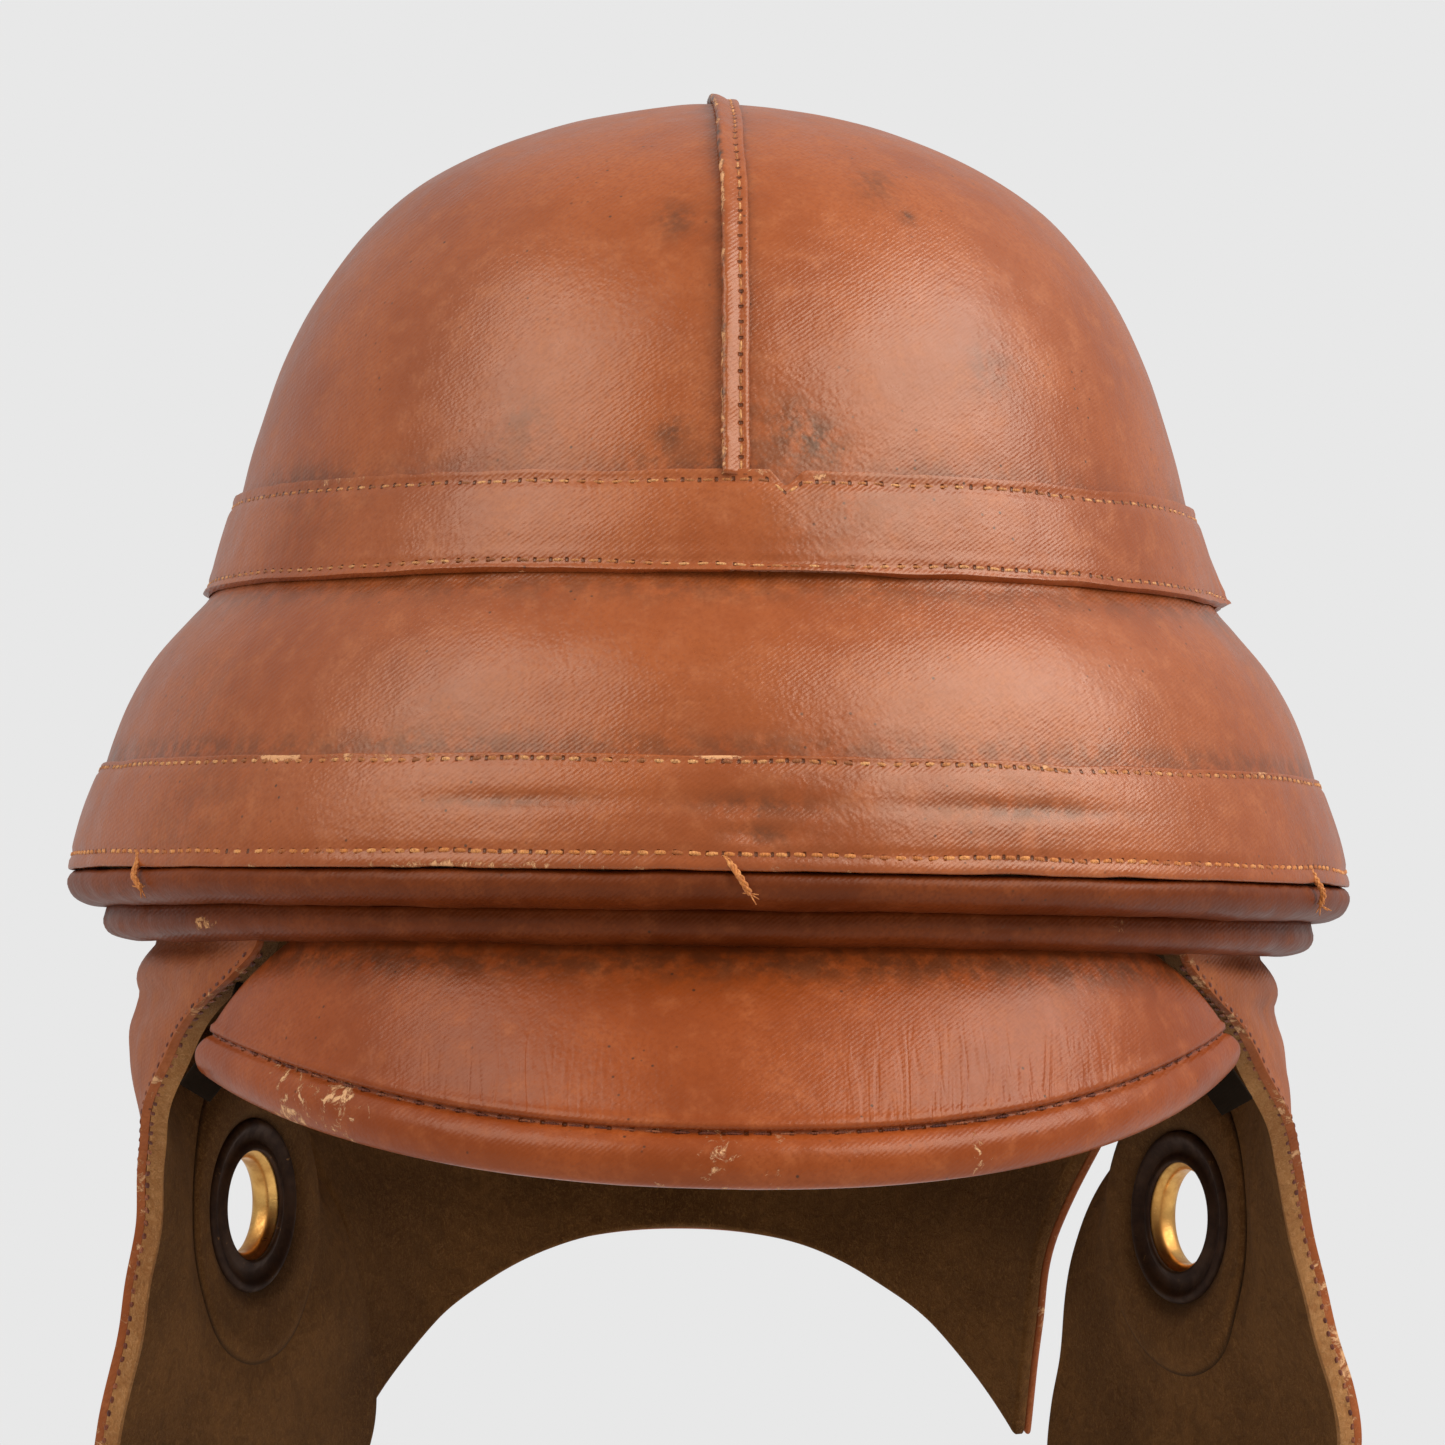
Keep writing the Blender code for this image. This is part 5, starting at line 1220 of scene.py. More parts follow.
def patch(side, mirror):
    """The felt patch round the ear hole, longer below it and sunk round the ring."""
    columns = 84
    rings = spread(0.0, 1.0, 16)
    rows = []
    for reach in rings:
        row = []
        for turn in turns(columns):
            x = lerp(PATCH_HOLE, PATCH_HALF_WIDTH, reach) * math.cos(turn)
            y = lerp(PATCH_HOLE, PATCH_HALF_HEIGHT, reach) * math.sin(turn) - PATCH_SHIFT * smoothstep(reach)
            at = EAR @ Vector((x, y, 0))
            across = nearest_across(at)
            flank = lerp(PATCH_DEPTH, PATCH_EDGE_DEPTH, smoothstep((1 - reach) / 0.22))
            depth = lerp(PATCH_SUNK, flank, smoothstep((math.hypot(x, y) - 0.0165) / 0.0050))
            row.append(hung(flap(across, at.z) - facing(flap, across, at.z) * depth, mirror))
        rows.append(row)
    walls = [lerp(0.35, 1.0, smoothstep((1 - reach) / 0.15)) for reach in rings for _ in range(columns)]
    made = grid_piece(f"ear_patch_felt_{side}", rows, ring=True)
    store(made.data, "reach", [reach for reach in rings for _ in range(columns)])
    made = thick(made, PATCH_THICKNESS, Vector((0, 0, -0.05)), 0.0, walls)
    middle, reach = hung(EAR.translation, mirror), stored(made.data, "reach")
    radius = [(v.co - middle).length for v in made.data.vertices]
    dress(made, FELT, f"ear_flap_{side}", "lining_felt", (f"ear_patch_{side}",),
          dark=lambda v: 0.25 * max(0.0, hum(v.co, 60, 2)) + 0.65 * near(radius[v.index] - 0.0175, 0.0035)
          + 0.9 * smoothstep((reach[v.index] - 0.93) / 0.05))
    declare_sheet(made, (PATCH_HALF_WIDTH * 2, PATCH_HALF_HEIGHT * 2))


def nape_curtain():
    """The leather and the felt behind the neck, and their hem's stitches."""
    for kind, depth, thickness, edge, material, slot, node, above in (
            ("leather", 0.0, CURTAIN_LEATHER, 0.0006, TAN_CURTAIN, "tan_leather", "nape_curtain_leather",
             "inner_roll_cover"),
            ("felt", FELT_DEPTH, CURTAIN_FELT, 0.0011, FELT, "lining_felt", "nape_curtain_lining",
             "nape_leather")):
        made, flat = hanging(f"nape_{kind}", nape, nape_foot, depth, thickness, 180, 80, edge=edge)
        along = stored(made.data, "along")
        dress(made, material, "helmet", slot, (node,),
              wear=lambda v, along=along: 0.08 + 0.16 * near(min(along[v.index], 1 - along[v.index]), 0.006)
              + 0.10 * hum(v.co, 30, 71),
              dark=blotches(0.25, 28, 3))
        declare_sheet(made, flat)
    line, ups = [], []
    for across in spread(0.004, 0.996, 260):
        height = nape_foot(across) + 0.004
        line.append(nape(across, height))
        ups.append(facing(nape, min(max(across, 0.01), 0.99), height))
    stitches("nape_hem_stitches", line, ups, CROWN_PITCH, THREAD, seed=12)


# Ear fittings

# Profiles of the ear tube and the ring: radius and height
TUBE_PROFILE = ((FLANGE_RADIUS, 0.0003), (FLANGE_RADIUS, 0.0011), (0.0172, 0.0020), (0.0140, 0.0021),
                (0.0113, 0.0010), (0.0101, -0.0004), (0.0098, -0.0024), (0.0101, -0.0040), (0.0114, -0.0051),
                (0.0125, -0.0046), (0.0120, -0.0034), (0.0120, -0.0010), (0.0125, 0.0001), (0.0160, 0.0003))
RING_PROFILE = ((0.0174, -0.0042), (0.0181, -0.0049), (0.0178, -0.0059), (0.0167, -0.0062), (0.0152, -0.0054),
                (0.0137, -0.0052), (0.0126, -0.0058), (0.0117, -0.0060), (0.0114, -0.0053), (0.0124, -0.0044),
                (0.0150, -0.0041))


def turned_piece(name, profile, matrix, count=96):
    """A closed profile turned round the matrix's Z axis."""
    rows = [[matrix @ Vector((at.x * math.cos(turn), at.x * math.sin(turn), at.y)) for turn in turns(count)]
            for at in profile]
    return closed_up(grid_piece(name, rows, ring=True, wrap=True))


def ear_fittings():
    """A tube and a ring in each ear hole."""
    for side, mirror in SIDES:
        at_ear = Matrix.Translation(hung(EAR.translation, 1) - EAR.translation) @ EAR
        if mirror == -1:
            at_ear = FLIP @ Matrix.Translation(flipped(hung(EAR.translation, -1), -1) - EAR.translation) @ EAR
        tube = turned_piece(f"ear_tube_{side}", curve_through(TUBE_PROFILE, 100, closed=True), at_ear)
        dress(tube, BRASS, f"ear_flap_{side}", "brass", (f"ear_grommet_{side}",),
              wear=uneven(0.05, 0.12, 120, 3))
        ring = turned_piece(f"ear_ring_{side}", curve_through(RING_PROFILE, 90, closed=True), at_ear)
        dress(ring, ENAMEL, f"ear_flap_{side}", "brown_enamel", (f"ear_grommet_washer_{side}",),
              wear=uneven(0.05, 0.16, 140, 5))


# Peak

# Rubbed places on the peak's edge: x, width and depth
EDGE_SCUFFS = ((-0.083, 0.0080, 0.17), (-0.070, 0.0060, 0.16), (-0.014, 0.0050, 0.15), (-0.003, 0.0060, 0.16),
               (0.008, 0.0030, 0.15), (0.021, 0.0020, 0.12), (0.045, 0.0035, 0.16), (-0.045, 0.02, 0.05))


def peak_ends(across):
    """The peak's points at its root and its edge, at one place from -1 to 1 along it."""
    wide = INNER_ROLL_HALF_WIDTH - PEAK_ROOT_INSET
    long = half_length(wide)
    side = abs(across)
    root_turn, tip_turn = math.radians(PEAK_ROOT_DEGREES) * across, math.radians(PEAK_TIP_DEGREES) * across
    inset = PEAK_ENDS_INSET * side ** 8
    root = Vector(((wide - inset) * math.sin(root_turn), (inset - long) * math.cos(root_turn),
                   INNER_ROLL_FOOT))
    reach = lerp(PEAK_FRONT_LENGTH, PEAK_SIDE_LENGTH, side ** PEAK_LENGTH_POWER)
    drop = lerp(PEAK_FRONT_DROP, PEAK_SIDE_DROP, side ** PEAK_DROP_POWER)
    drop += (PEAK_SAG - PEAK_TILT * across) * side ** 2
    tip = wide + PEAK_TIP_SPREAD
    edge = Vector((tip * math.sin(tip_turn), -(long + reach) * math.cos(tip_turn), -drop))
    root.z -= CLEARANCE + PEAK_FACE * (edge - root).normalized().to_2d().length
    return root, edge


def peak_station(across):
    """Root, outward direction, upward normal and length of the peak at one place along it."""
    root, edge = peak_ends(across)
    before, after = peak_ends(across - 0.01), peak_ends(across + 0.01)
    along = (after[0] - before[0]).lerp(after[1] - before[1], 0.5)
    out = (edge - root).normalized()
    up = along.cross(out).normalized()
    return root, out, up if up.z > 0 else -up, (edge - root).length


def peak_point(station, distance, offset):
    root, out, up, length = station
    camber = 4 * PEAK_CAMBER * (distance / length) * (1 - distance / length)
    return root + out * distance + up * (offset + camber)


def peak_fold(co):
    """Where the peak's leather is drawn into fine upright folds."""
    left = smoothstep((co.x - 0.006) / 0.03) * (1 - smoothstep((co.x - 0.068) / 0.03))
    return max(left, 0.4 * near(co.x + 0.045, 0.025)) * smoothstep((-0.008 - co.z) / 0.016)


FAR_BELOW = Vector((0, 0, -0.3))


def peak_sheet(name, stations, steps, ends, offset, thickness, inside):
    """A sheet of the peak; ends say how far from the root it starts and from the edge it stops."""
    rows = []
    for share in spread(0.0, 1.0, steps):
        row = []
        for station in stations:
            distance = lerp(ends[0], station[3] - ends[1], share)
            row.append(peak_point(station, distance, offset(station, distance, share)))
        rows.append(row)
    return thick(grid_piece(name, rows), thickness, inside, 0.0)


def cover_offset(station, distance, share):
    """Height of the top leather, with a lip where the folded edge starts."""
    at = peak_point(station, distance, PEAK_FACE)
    lip = 0.0005 * near(station[3] - PEAK_BINDING - distance - 0.0009, 0.0009)
    return PEAK_FACE + 0.00035 * hum(at, 34, 77) + lip


def underside_offset(station, distance, share):
    return -PEAK_UNDER_FACE - 0.0002 * hum(station[0], 90, share)


def peak():
    """The peak's leather, lining, folded edge, board and the ends of its lining."""
    stations = [peak_station(across) for across in spread(-1, 1, 420)]
    made = peak_sheet("peak_cover", stations, 38, (-PEAK_TUCKED, PEAK_BINDING - 0.0004), cover_offset,
                      PEAK_LEATHER, FAR_BELOW)
    # The "dark" value is a painted shadow of the inner roll along the peak's root.
    dress(made, TAN_PEAK, "helmet", "tan_leather", ("peak_top_leather",), fold=lambda v: peak_fold(v.co),
          wear=uneven(0.08, 0.10, 40, 9), dark=lambda v: 0.6 * near(v.co.z + 0.002, 0.004))
    made = peak_sheet("peak_underside", stations[::3], 12, (-PEAK_TUCKED, PEAK_BINDING - 0.0006),
                      underside_offset, PEAK_LINING, -FAR_BELOW)
    dress(made, BLACK, "helmet", "black_lining", ("peak_under_lining",), wear=lambda v: 0.05)
    peak_edge(stations)
    made = peak_sheet("peak_stiffener", stations[::4], 10, (STIFFENER_FROM_ROOT, STIFFENER_FROM_EDGE),
                      lambda *_: STIFFENER_FACE, STIFFENER_THICKNESS, FAR_BELOW)
    dress(made, BOARD, "helmet", "fibre_board", ("peak_board",))
    for side, mirror in SIDES:
        peak_corner(side, mirror)


def edge_wear(co):
    total = 0.08 + 0.08 * hum(co, 50, 19)
    for x, width, amount in EDGE_SCUFFS:
        total += amount * near(co.x - x, width)
    return total


def peak_edge(stations):
    """The strip folded round the peak's edge, sewn through along its groove."""
    rows, line, ups = [], [], []
    for station in stations:
        length = station[3]
        sewn = length - PEAK_BINDING
        section = ((sewn - 0.0002, 0.0027), (sewn + 0.0008, 0.0022), (sewn + 0.0024, 0.0033),
                   (sewn + 0.0050, 0.0039), (length - 0.0026, 0.0033), (length - 0.0006, 0.0018),
                   (length, 0.0), (length - 0.0010, -0.0021), (length - 0.0036, -0.0030),
                   (sewn + 0.0030, -0.0031), (sewn + 0.0008, -0.0028), (sewn - 0.0002, -0.0020))
        row = []
        for distance, offset in curve_through(section, 48):
            at = peak_point(station, distance, offset)
            swell = 1 + 0.10 * hum(at, 48, 88) + 0.04 * hum(at, 200, 5)
            row.append(peak_point(station, distance, offset * swell))
        rows.append(row)
        line.append(peak_point(station, sewn + 0.0007, 0.0023))
        ups.append(station[2])
    count = stitch_count(line, PEAK_PITCH)
    made = grid_piece("peak_edge", rows)
    phases = spread(0.0, count, len(rows))
    store(made.data, "stitch", [phase for phase, row in zip(phases, rows) for _ in row])
    away = [ROW_OFFSET + (at - spot).length * 1000 for spot, row in zip(line, rows) for at in row]
    store(made.data, "row", away)
    made = thick(made, PEAK_LEATHER, Vector((0, -0.08, -0.02)), 0.0)
    dress(made, TAN_PEAK, "helmet", "tan_leather", ("peak_binding",), wear=lambda v: edge_wear(v.co))
    stitches("peak_stitches", line, ups, PEAK_PITCH, THREAD_DARK, radius=0.00026, fill=0.66, seed=3)


def peak_corner(side, mirror):
    """The end of the peak's black lining, folded back under the root and seen behind the peak's end."""
    route = curve_through(CORNER_POINTS, CORNER_STATIONS)
    rows = []
    for number, at in enumerate(route):
        along = (route[min(number + 1, CORNER_STATIONS - 1)] - route[max(number - 1, 0)]).normalized()
        wide = along.cross(Vector((0.35, 0.94, 0))).normalized()
        row = []
        for u in spread(-1, 1, 11):
            spot = at + wide * u * CORNER_HALF_WIDTH
            row.append(flipped(spot + Vector((0, 1, 0)) * (0.0007 * hum(spot, 140, 3)), mirror))
        rows.append(row)
    made = thick(grid_piece(f"peak_lining_corner_{side}", rows), PEAK_LINING, Vector((0, 0, -0.03)), 0.0003)
    dress(made, BLACK, "helmet", "black_lining", wear=lambda v: 0.05)


# Inside of the helmet

LINING_DEPTH, LINING_THICKNESS = 0.0106, 0.0036
BROW_LEATHER, FACING_LEATHER, CRADLE_LEATHER = 0.0015, 0.0012, 0.0016
CRADLE_INSET, CRADLE_FOOT, CRADLE_TOP, CRADLE_OPENING = 0.00075, 0.0443, 0.0583, 0.022
CRADLE_PARTS, TONGUE_COUNT, TONGUE_HALF_PARTS = 32, 8, 1.5
TONGUE_TAPER, TONGUE_ROUND_FROM, TONGUE_CURL = 0.45, 0.86, 0.0011


def felt_lining():
    """The felt that lines the crown's shell."""
    points = [(CROWN_HALF_WIDTH * 0.96, 0.003), (CROWN_HALF_WIDTH * 0.975, 0.035)]
    points += [tuple(p) for p in DOME_LINE if p.y > CROWN_SKIN_FOOT][::18] + [(0.0, DOME_FOOT + DOME_RISE)]
    skin = Skin(curve_through(points, 150))
    rows = []
    for share in spread(0.0, 0.995, 60):
        at, out = skin.at(share)
        row = []
        for angle in turns(180):
            depth = LINING_DEPTH + 0.0004 * hum(on_oval(at.x, angle, at.y), 30, 6)
            row.append(on_oval(max(at.x - out.x * depth, 0.0004), angle, at.y - out.y * depth))
        rows.append(row)
    made = thick(grid_piece("crown_felt", rows, ring=True), LINING_THICKNESS, edge=0.0)
    dress(made, FELT, "helmet", "lining_felt", ("felt_liner",), dark=blotches(0.2, 24, 1))
    around = math.pi * (CROWN_HALF_WIDTH + half_length(CROWN_HALF_WIDTH))
    declare_sheet(made, (around, skin.length))


def brow_band(half):
    """The sweatband, with a stitched foot."""
    line = curve_through(((half - 0.0006, -0.002), (half, 0.004), (half, 0.030), (half - 0.0004, 0.044)), 30)

    def relief(angle, share, co):
        return 0.0005 * hum(co, 40, 5) - 0.0004 * near(co.z - 0.040, 0.001)

    skin = Skin(line, 0.0, relief)
    made = grid_piece("brow_band", skin.rows(turns(360), spread(0, 1, 30)), ring=True)
    made = thick(made, BROW_LEATHER)
    dress(made, STRAP, "helmet", "strap_leather", ("sweatband",),
          wear=lambda v: 0.06 + 0.12 * near(v.co.z + 0.002, 0.002),
          dark=lambda v: 0.35 * max(0.0, 0.5 + hum(v.co, 20, 5)) * smoothstep((0.03 - v.co.z) / 0.03))
    angles = spread(0, math.tau, 361)
    line = [on_oval(half - 0.0016, angle, 0.0015) for angle in angles]
    ups = [-plan_normal(half, angle) for angle in angles]
    stitches("brow_band_stitches", line, ups, CROWN_PITCH, THREAD, slot="strap_leather", seed=77)


def rim_facing(half):
    """The leather that closes the underside between the sweatband and the rolls."""
    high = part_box("facing_ring")[1]
    rows = []
    for width in spread(half + 0.0006, high.x, 16):
        rows.append([on_oval(width, angle, high.z - 0.0001 + 0.0004 * hum(on_oval(width, angle, 0), 40, 3))
                     for angle in turns(360)])
    made = thick(grid_piece("rim_facing", rows, ring=True), FACING_LEATHER, Vector((0, 0, 1)))
    dress(made, TAN_ROLL, "helmet", "tan_leather", ("facing_ring",), wear=lambda v: 0.04)


def add_faces(bm, grid, ring=False):
    """Adds the faces between rows of vertices."""
    count = len(grid[0])
    for a, b in zip(grid, grid[1:]):
        for c in range(count if ring else count - 1):
            d = (c + 1) % count
            bm.faces.new((a[c], a[d], b[d], b[c]))


def add_tongue(bm, side, middle):
    """Adds one tongue of the cradle, round its middle angle."""
    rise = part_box("head_cradle")[1].z - CRADLE_TOP
    lean = math.acos(CRADLE_OPENING / side)
    grid = []
    for share in spread(0.0, 1.0, 33):
        keep = 1 - TONGUE_TAPER * share
        if share > TONGUE_ROUND_FROM:
            keep *= math.sqrt(1 - ((share - TONGUE_ROUND_FROM) / 0.14) ** 2 * 0.85)
        width = side * math.cos(lean * share)
        height = CRADLE_TOP + rise * math.sin(lean * share) / math.sin(lean)
        line = []
        for u in spread(-1, 1, 27):
            angle = middle + math.tau * TONGUE_HALF_PARTS / CRADLE_PARTS * keep * u
            curl = TONGUE_CURL * u * u
            line.append(bm.verts.new(on_oval(width - curl, angle, height - curl)))
        grid.append(line)
    add_faces(bm, grid)


def cradle(half):
    """A band with eight tongues that arch over the head."""
    side = half - CRADLE_INSET
    bm = bmesh.new()
    for tongue in range(TONGUE_COUNT):
        middle = math.tau * (tongue * CRADLE_PARTS // TONGUE_COUNT + TONGUE_HALF_PARTS) / CRADLE_PARTS
        add_tongue(bm, side, middle)
    band = [[bm.verts.new(on_oval(side + 0.0003, angle, height)) for angle in turns(240)]
            for height in spread(CRADLE_FOOT, CRADLE_TOP + 0.0008, 10)]
    add_faces(bm, band, ring=True)
    made = thick(bm_piece("cradle_leather", bm), CRADLE_LEATHER)
    dress(made, STRAP, "helmet", "strap_leather", ("head_cradle",),
          wear=uneven(0.08, 0.10, 40, 2), dark=blotches(0.3, 25, 9))


def crown_cushion():
    """The quilted pad over the head, a padded piece."""
    low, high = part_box("crown_pad")
    half = high.x
    section = curve_through(((0.0, low.z), (half * 0.6, low.z - 0.0004), (half * 0.93, low.z + 0.0006),
                             (half, low.z + 0.0045), (half * 0.97, low.z + 0.0085),
                             (half * 0.7, high.z - 0.0035), (0.0, high.z - 0.0006)), 40)
    rows = []
    for at in section:
        under = 1 if at.y < low.z + 0.004 else 0
        row = []
        for angle in turns(96):
            quilt = 0.0007 * math.cos(angle * 8) * (at.x / half) ** 2 * under
            row.append(on_oval(max(at.x, 0.0003), angle, at.y + quilt))
        rows.append(row)
    made = closed_up(grid_piece("crown_cushion", rows, ring=True))
    dress(made, FELT, "helmet", "lining_felt", ("crown_pad",), dark=blotches(0.3, 60, 4))


# Chin strap and buckle


def tip_frame():
    """Middle of the left flap's hem: X along the hem, Y out of the flap, Z up."""
    middle = raw_flap(0.5, -FLAP_DROP)
    along = (raw_flap(1, -FLAP_DROP) - raw_flap(0, -FLAP_DROP)).normalized()
    up = Vector((0, 0, 1))
    out = up.cross(along).normalized()
    if out.x < 0:
        along, out = -along, -out
    return axes(middle, along, out, up)


TIP = tip_frame()
TIP_FELT = 0.0035
STRAP_AXIS = TIP @ Matrix.Translation((0, -(CURTAIN_LEATHER + TIP_FELT) / 2, -CHAPE_LEATHER - CLEARANCE))
CHAPE_AXIS = FLIP @ STRAP_AXIS @ FLIP
TUCKED = 0.010


def strap():
    """The chin strap: creased along its edges, punched, and tucked between the flap's layers."""
    half, top = STRAP_WIDTH / 2, STRAP_THICKNESS / 2
    holes = [STRAP_HOLE_START + STRAP_HOLE_PITCH * number - STRAP_LENGTH
             for number in range(STRAP_HOLE_COUNT)]
    rows = []
    for z in spread(TUCKED, -STRAP_LENGTH, 236):
        width = max(half * smoothstep((z + STRAP_LENGTH) / STRAP_POINT) ** 0.55, 0.0006)
        row = []
        for u in spread(-1, 1, 27):
            crease = 0.00030 * near(half * (1 - abs(u)) - 0.0013, 0.0004)
            bow = 0.0009 * math.sin(z * 46) * smoothstep(-z / 0.03)
            bow += 0.0003 * hum(Vector((u, z * 60, 0)), 1.0, 4)
            row.append(Vector((width * u, top - crease + bow, z)))
        rows.append(row)
    made = grid_piece("chin_strap_leather", rows)
    with editing(made) as bm:
        middles = {face: face.calc_center_median() for face in bm.faces}
        cut_faces(bm, [face for face, at in middles.items()
                       if any(math.hypot(at.x, at.z - z) < STRAP_HOLE_RADIUS for z in holes)])
        for vert in bm.verts:
            for z in holes:
                away = Vector((vert.co.x, vert.co.z - z))
                if vert.is_boundary and away.length < STRAP_HOLE_RADIUS * 1.7:
                    away = away.normalized() * STRAP_HOLE_RADIUS
                    vert.co.x, vert.co.z = away.x, z + away.y
        bmesh.ops.transform(bm, matrix=STRAP_AXIS, verts=bm.verts)
    made = thick(made, STRAP_THICKNESS, STRAP_AXIS @ Vector((0, -1, -0.07)), 0.0005)
    back = STRAP_AXIS.inverted()

    def round_holes(v):
        at = back @ v.co
        return 0.6 * max(near(math.hypot(at.x, at.z - z), 0.0030) for z in holes)

    dress(made, STRAP, None, "strap_leather", ("chin_strap",), dark=round_holes,
          wear=lambda v: 0.08 + 0.12 * near(half - abs((back @ v.co).x), 0.0009) + 0.10 * hum(v.co, 40, 6))
    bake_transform(made)


def chape():
    """A strap folded round the buckle's bar, slotted for the prong."""
    half, middle, bar = (STRAP_WIDTH - CHAPE_LEATHER) / 2, CHAPE_LEATHER / 2, -CHAPE_LENGTH
    round_bar = WIRE_RADIUS + CLEARANCE + middle
    stem = spread(TUCKED, bar + 0.0045, 34)
    path = [Vector((middle, z)) for z in stem]
    for turn in spread(math.radians(48), math.radians(-228), 27):
        path.append(Vector((round_bar * math.cos(turn), bar + round_bar * math.sin(turn))))
    path += [Vector((-middle, z)) for z in reversed(stem)]
    slot = CHAPE_SLOT / 2 / half
    across = (-1, -0.93, -0.8, -0.6, -0.4, -slot, slot, 0.4, 0.6, 0.8, 0.93, 1)
    rows = [[Vector((half * u, at.x, at.y)) for u in across] for at in path]
    made = grid_piece("buckle_chape_leather", rows)
    slot_top = bar + WIRE_RADIUS + CLEARANCE + CHAPE_LEATHER * 2
    with editing(made) as bm:
        middles = {face: face.calc_center_median() for face in bm.faces}
        cut_faces(bm, [face for face, at in middles.items()
                       if abs(at.x) < half * slot / 2 and at.z < slot_top])
        bmesh.ops.transform(bm, matrix=CHAPE_AXIS, verts=bm.verts)
    made = thick(made, CHAPE_LEATHER * 0.94, edge=0.0003, offset=0.0)
    back = CHAPE_AXIS.inverted()
    dress(made, STRAP, None, "strap_leather", ("buckle_chape",),
          wear=lambda v: 0.08 + 0.14 * near(half - abs((back @ v.co).x), 0.0008) + 0.10 * hum(v.co, 50, 6),
          dark=lambda v: 0.35 * near((back @ v.co).z - bar, 0.004))
    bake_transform(made)
    line = [CHAPE_AXIS @ Vector((x, CHAPE_LEATHER, -CHAPE_SEWN)) for x in spread(-half * 0.8, half * 0.8, 30)]
    stitches("buckle_chape_stitches", line, [CHAPE_AXIS.col[1].xyz] * 30, STRAP_PITCH, THREAD, "buckle_chape",
             "strap_leather", seed=9)


def keeper():
    """A leather loop round the chape."""
    deep = CHAPE_LEATHER * 2 + CLEARANCE * 4 + STRAP_THICKNESS
    lift = deep / 2 - CHAPE_LEATHER - CLEARANCE
    axis = CHAPE_AXIS @ Matrix.Translation((0, lift, -KEEPER_DROP - KEEPER_HEIGHT / 2))
    corner = 0.0016
    x = STRAP_WIDTH / 2 + CLEARANCE + KEEPER_THICKNESS - corner
    y = deep / 2 + KEEPER_THICKNESS - corner
    loop = []
    for number, (cx, cy) in enumerate(((x, y), (-x, y), (-x, -y), (x, -y))):
        for turn in spread(0, math.pi / 2, 7):
            angle = turn + number * math.pi / 2
            loop.append(Vector((cx + corner * math.cos(angle), cy + corner * math.sin(angle))))
    loop = resample(loop, 110, closed=True)
    rows = [[axis @ Vector((at.x, at.y, z)) for at in loop]
            for z in spread(-KEEPER_HEIGHT / 2, KEEPER_HEIGHT / 2, 9)]
    made = grid_piece("strap_keeper_leather", rows, ring=True)
    made = thick(made, KEEPER_THICKNESS, axis.translation, 0.0003)
    dress(made, STRAP, "buckle_chape", "strap_leather", ("strap_keeper",), wear=uneven(0.14, 0.12, 90, 6))


def buckle():
    """A bent wire frame."""
    axis = CHAPE_AXIS @ Matrix.Translation((0, 0, -CHAPE_LENGTH))
    route = []
    foot = BUCKLE_CORNER - BUCKLE_HEIGHT
    for corner, cz, first in ((BAR_CORNER, -BAR_CORNER, 90), (BUCKLE_CORNER, foot, 0)):
        for turn in spread(first, first - 90, 9):
            angle = math.radians(turn)
            x = BUCKLE_HALF_WIDTH + corner * (math.cos(angle) - 1)
            route.append(Vector((x, 0, cz + corner * math.sin(angle))))
    route += [Vector((-at.x, at.y, at.z)) for at in reversed(route)]
    route = resample(route, 120, closed=True)
    bm = bmesh.new()
    add_tube(bm, [axis @ at for at in route], [WIRE_RADIUS] * len(route), 14, closed=True)
    dress(bm_piece("buckle_wire", bm), BRASS, "buckle_frame", "brass", ("buckle_frame",),
          wear=uneven(0.08, 0.12, 160, 3))
    prong(axis)


def prong(axis):
    """The prong and its eye, which turns on the buckle's bar."""
    bore, half, soft = WIRE_RADIUS + CLEARANCE * 0.6, PRONG_EYE_WIDTH / 2, 0.0004
    wall = bore + PRONG_EYE_WALL
    profile = ((bore, soft - half), (bore + soft, -half), (wall - soft, -half), (wall, soft - half),
               (wall, half - soft), (wall - soft, half), (bore + soft, half), (bore, half - soft))
    along_bar = axis @ Matrix.Rotation(math.pi / 2, 4, "Y")
    eye = turned_piece("prong_eye", [Vector(at) for at in profile], along_bar, 40)
    dress(eye, BRASS, "buckle_prong", "brass", ("buckle_prong",), wear=lambda v: 0.10)

    lean = math.asin((WIRE_RADIUS + PRONG_RADIUS + CLEARANCE) / BUCKLE_HEIGHT)
    tilt = axis @ Matrix.Rotation(lean, 4, "X")
    lengths = spread(bore + soft, BUCKLE_HEIGHT + 0.0009, 26)
    radii = [PRONG_RADIUS * (1.12 - 0.35 * smoothstep((at / BUCKLE_HEIGHT - 0.55) / 0.5)) for at in lengths]
    radii[-1] *= 0.45
    line = [tilt @ Vector((0, 0.0005 * math.sin(math.pi * at / BUCKLE_HEIGHT), -at)) for at in lengths]
    bm = bmesh.new()
    add_tube(bm, line, radii, 12)
    dress(bm_piece("prong_stem", bm), BRASS, "buckle_prong", "brass", wear=lambda v: 0.12)


def on_tab(u, v, mirror):
    """A point on the outside of a flap's tip, and the way out there."""
    spot = TIP @ Vector((u, 0, v))
    across = nearest_across(spot)
    out = facing(flap, across, spot.z)
    return hung(flap(across, spot.z) + out * TAB_LIFT, mirror), flipped(out, mirror)


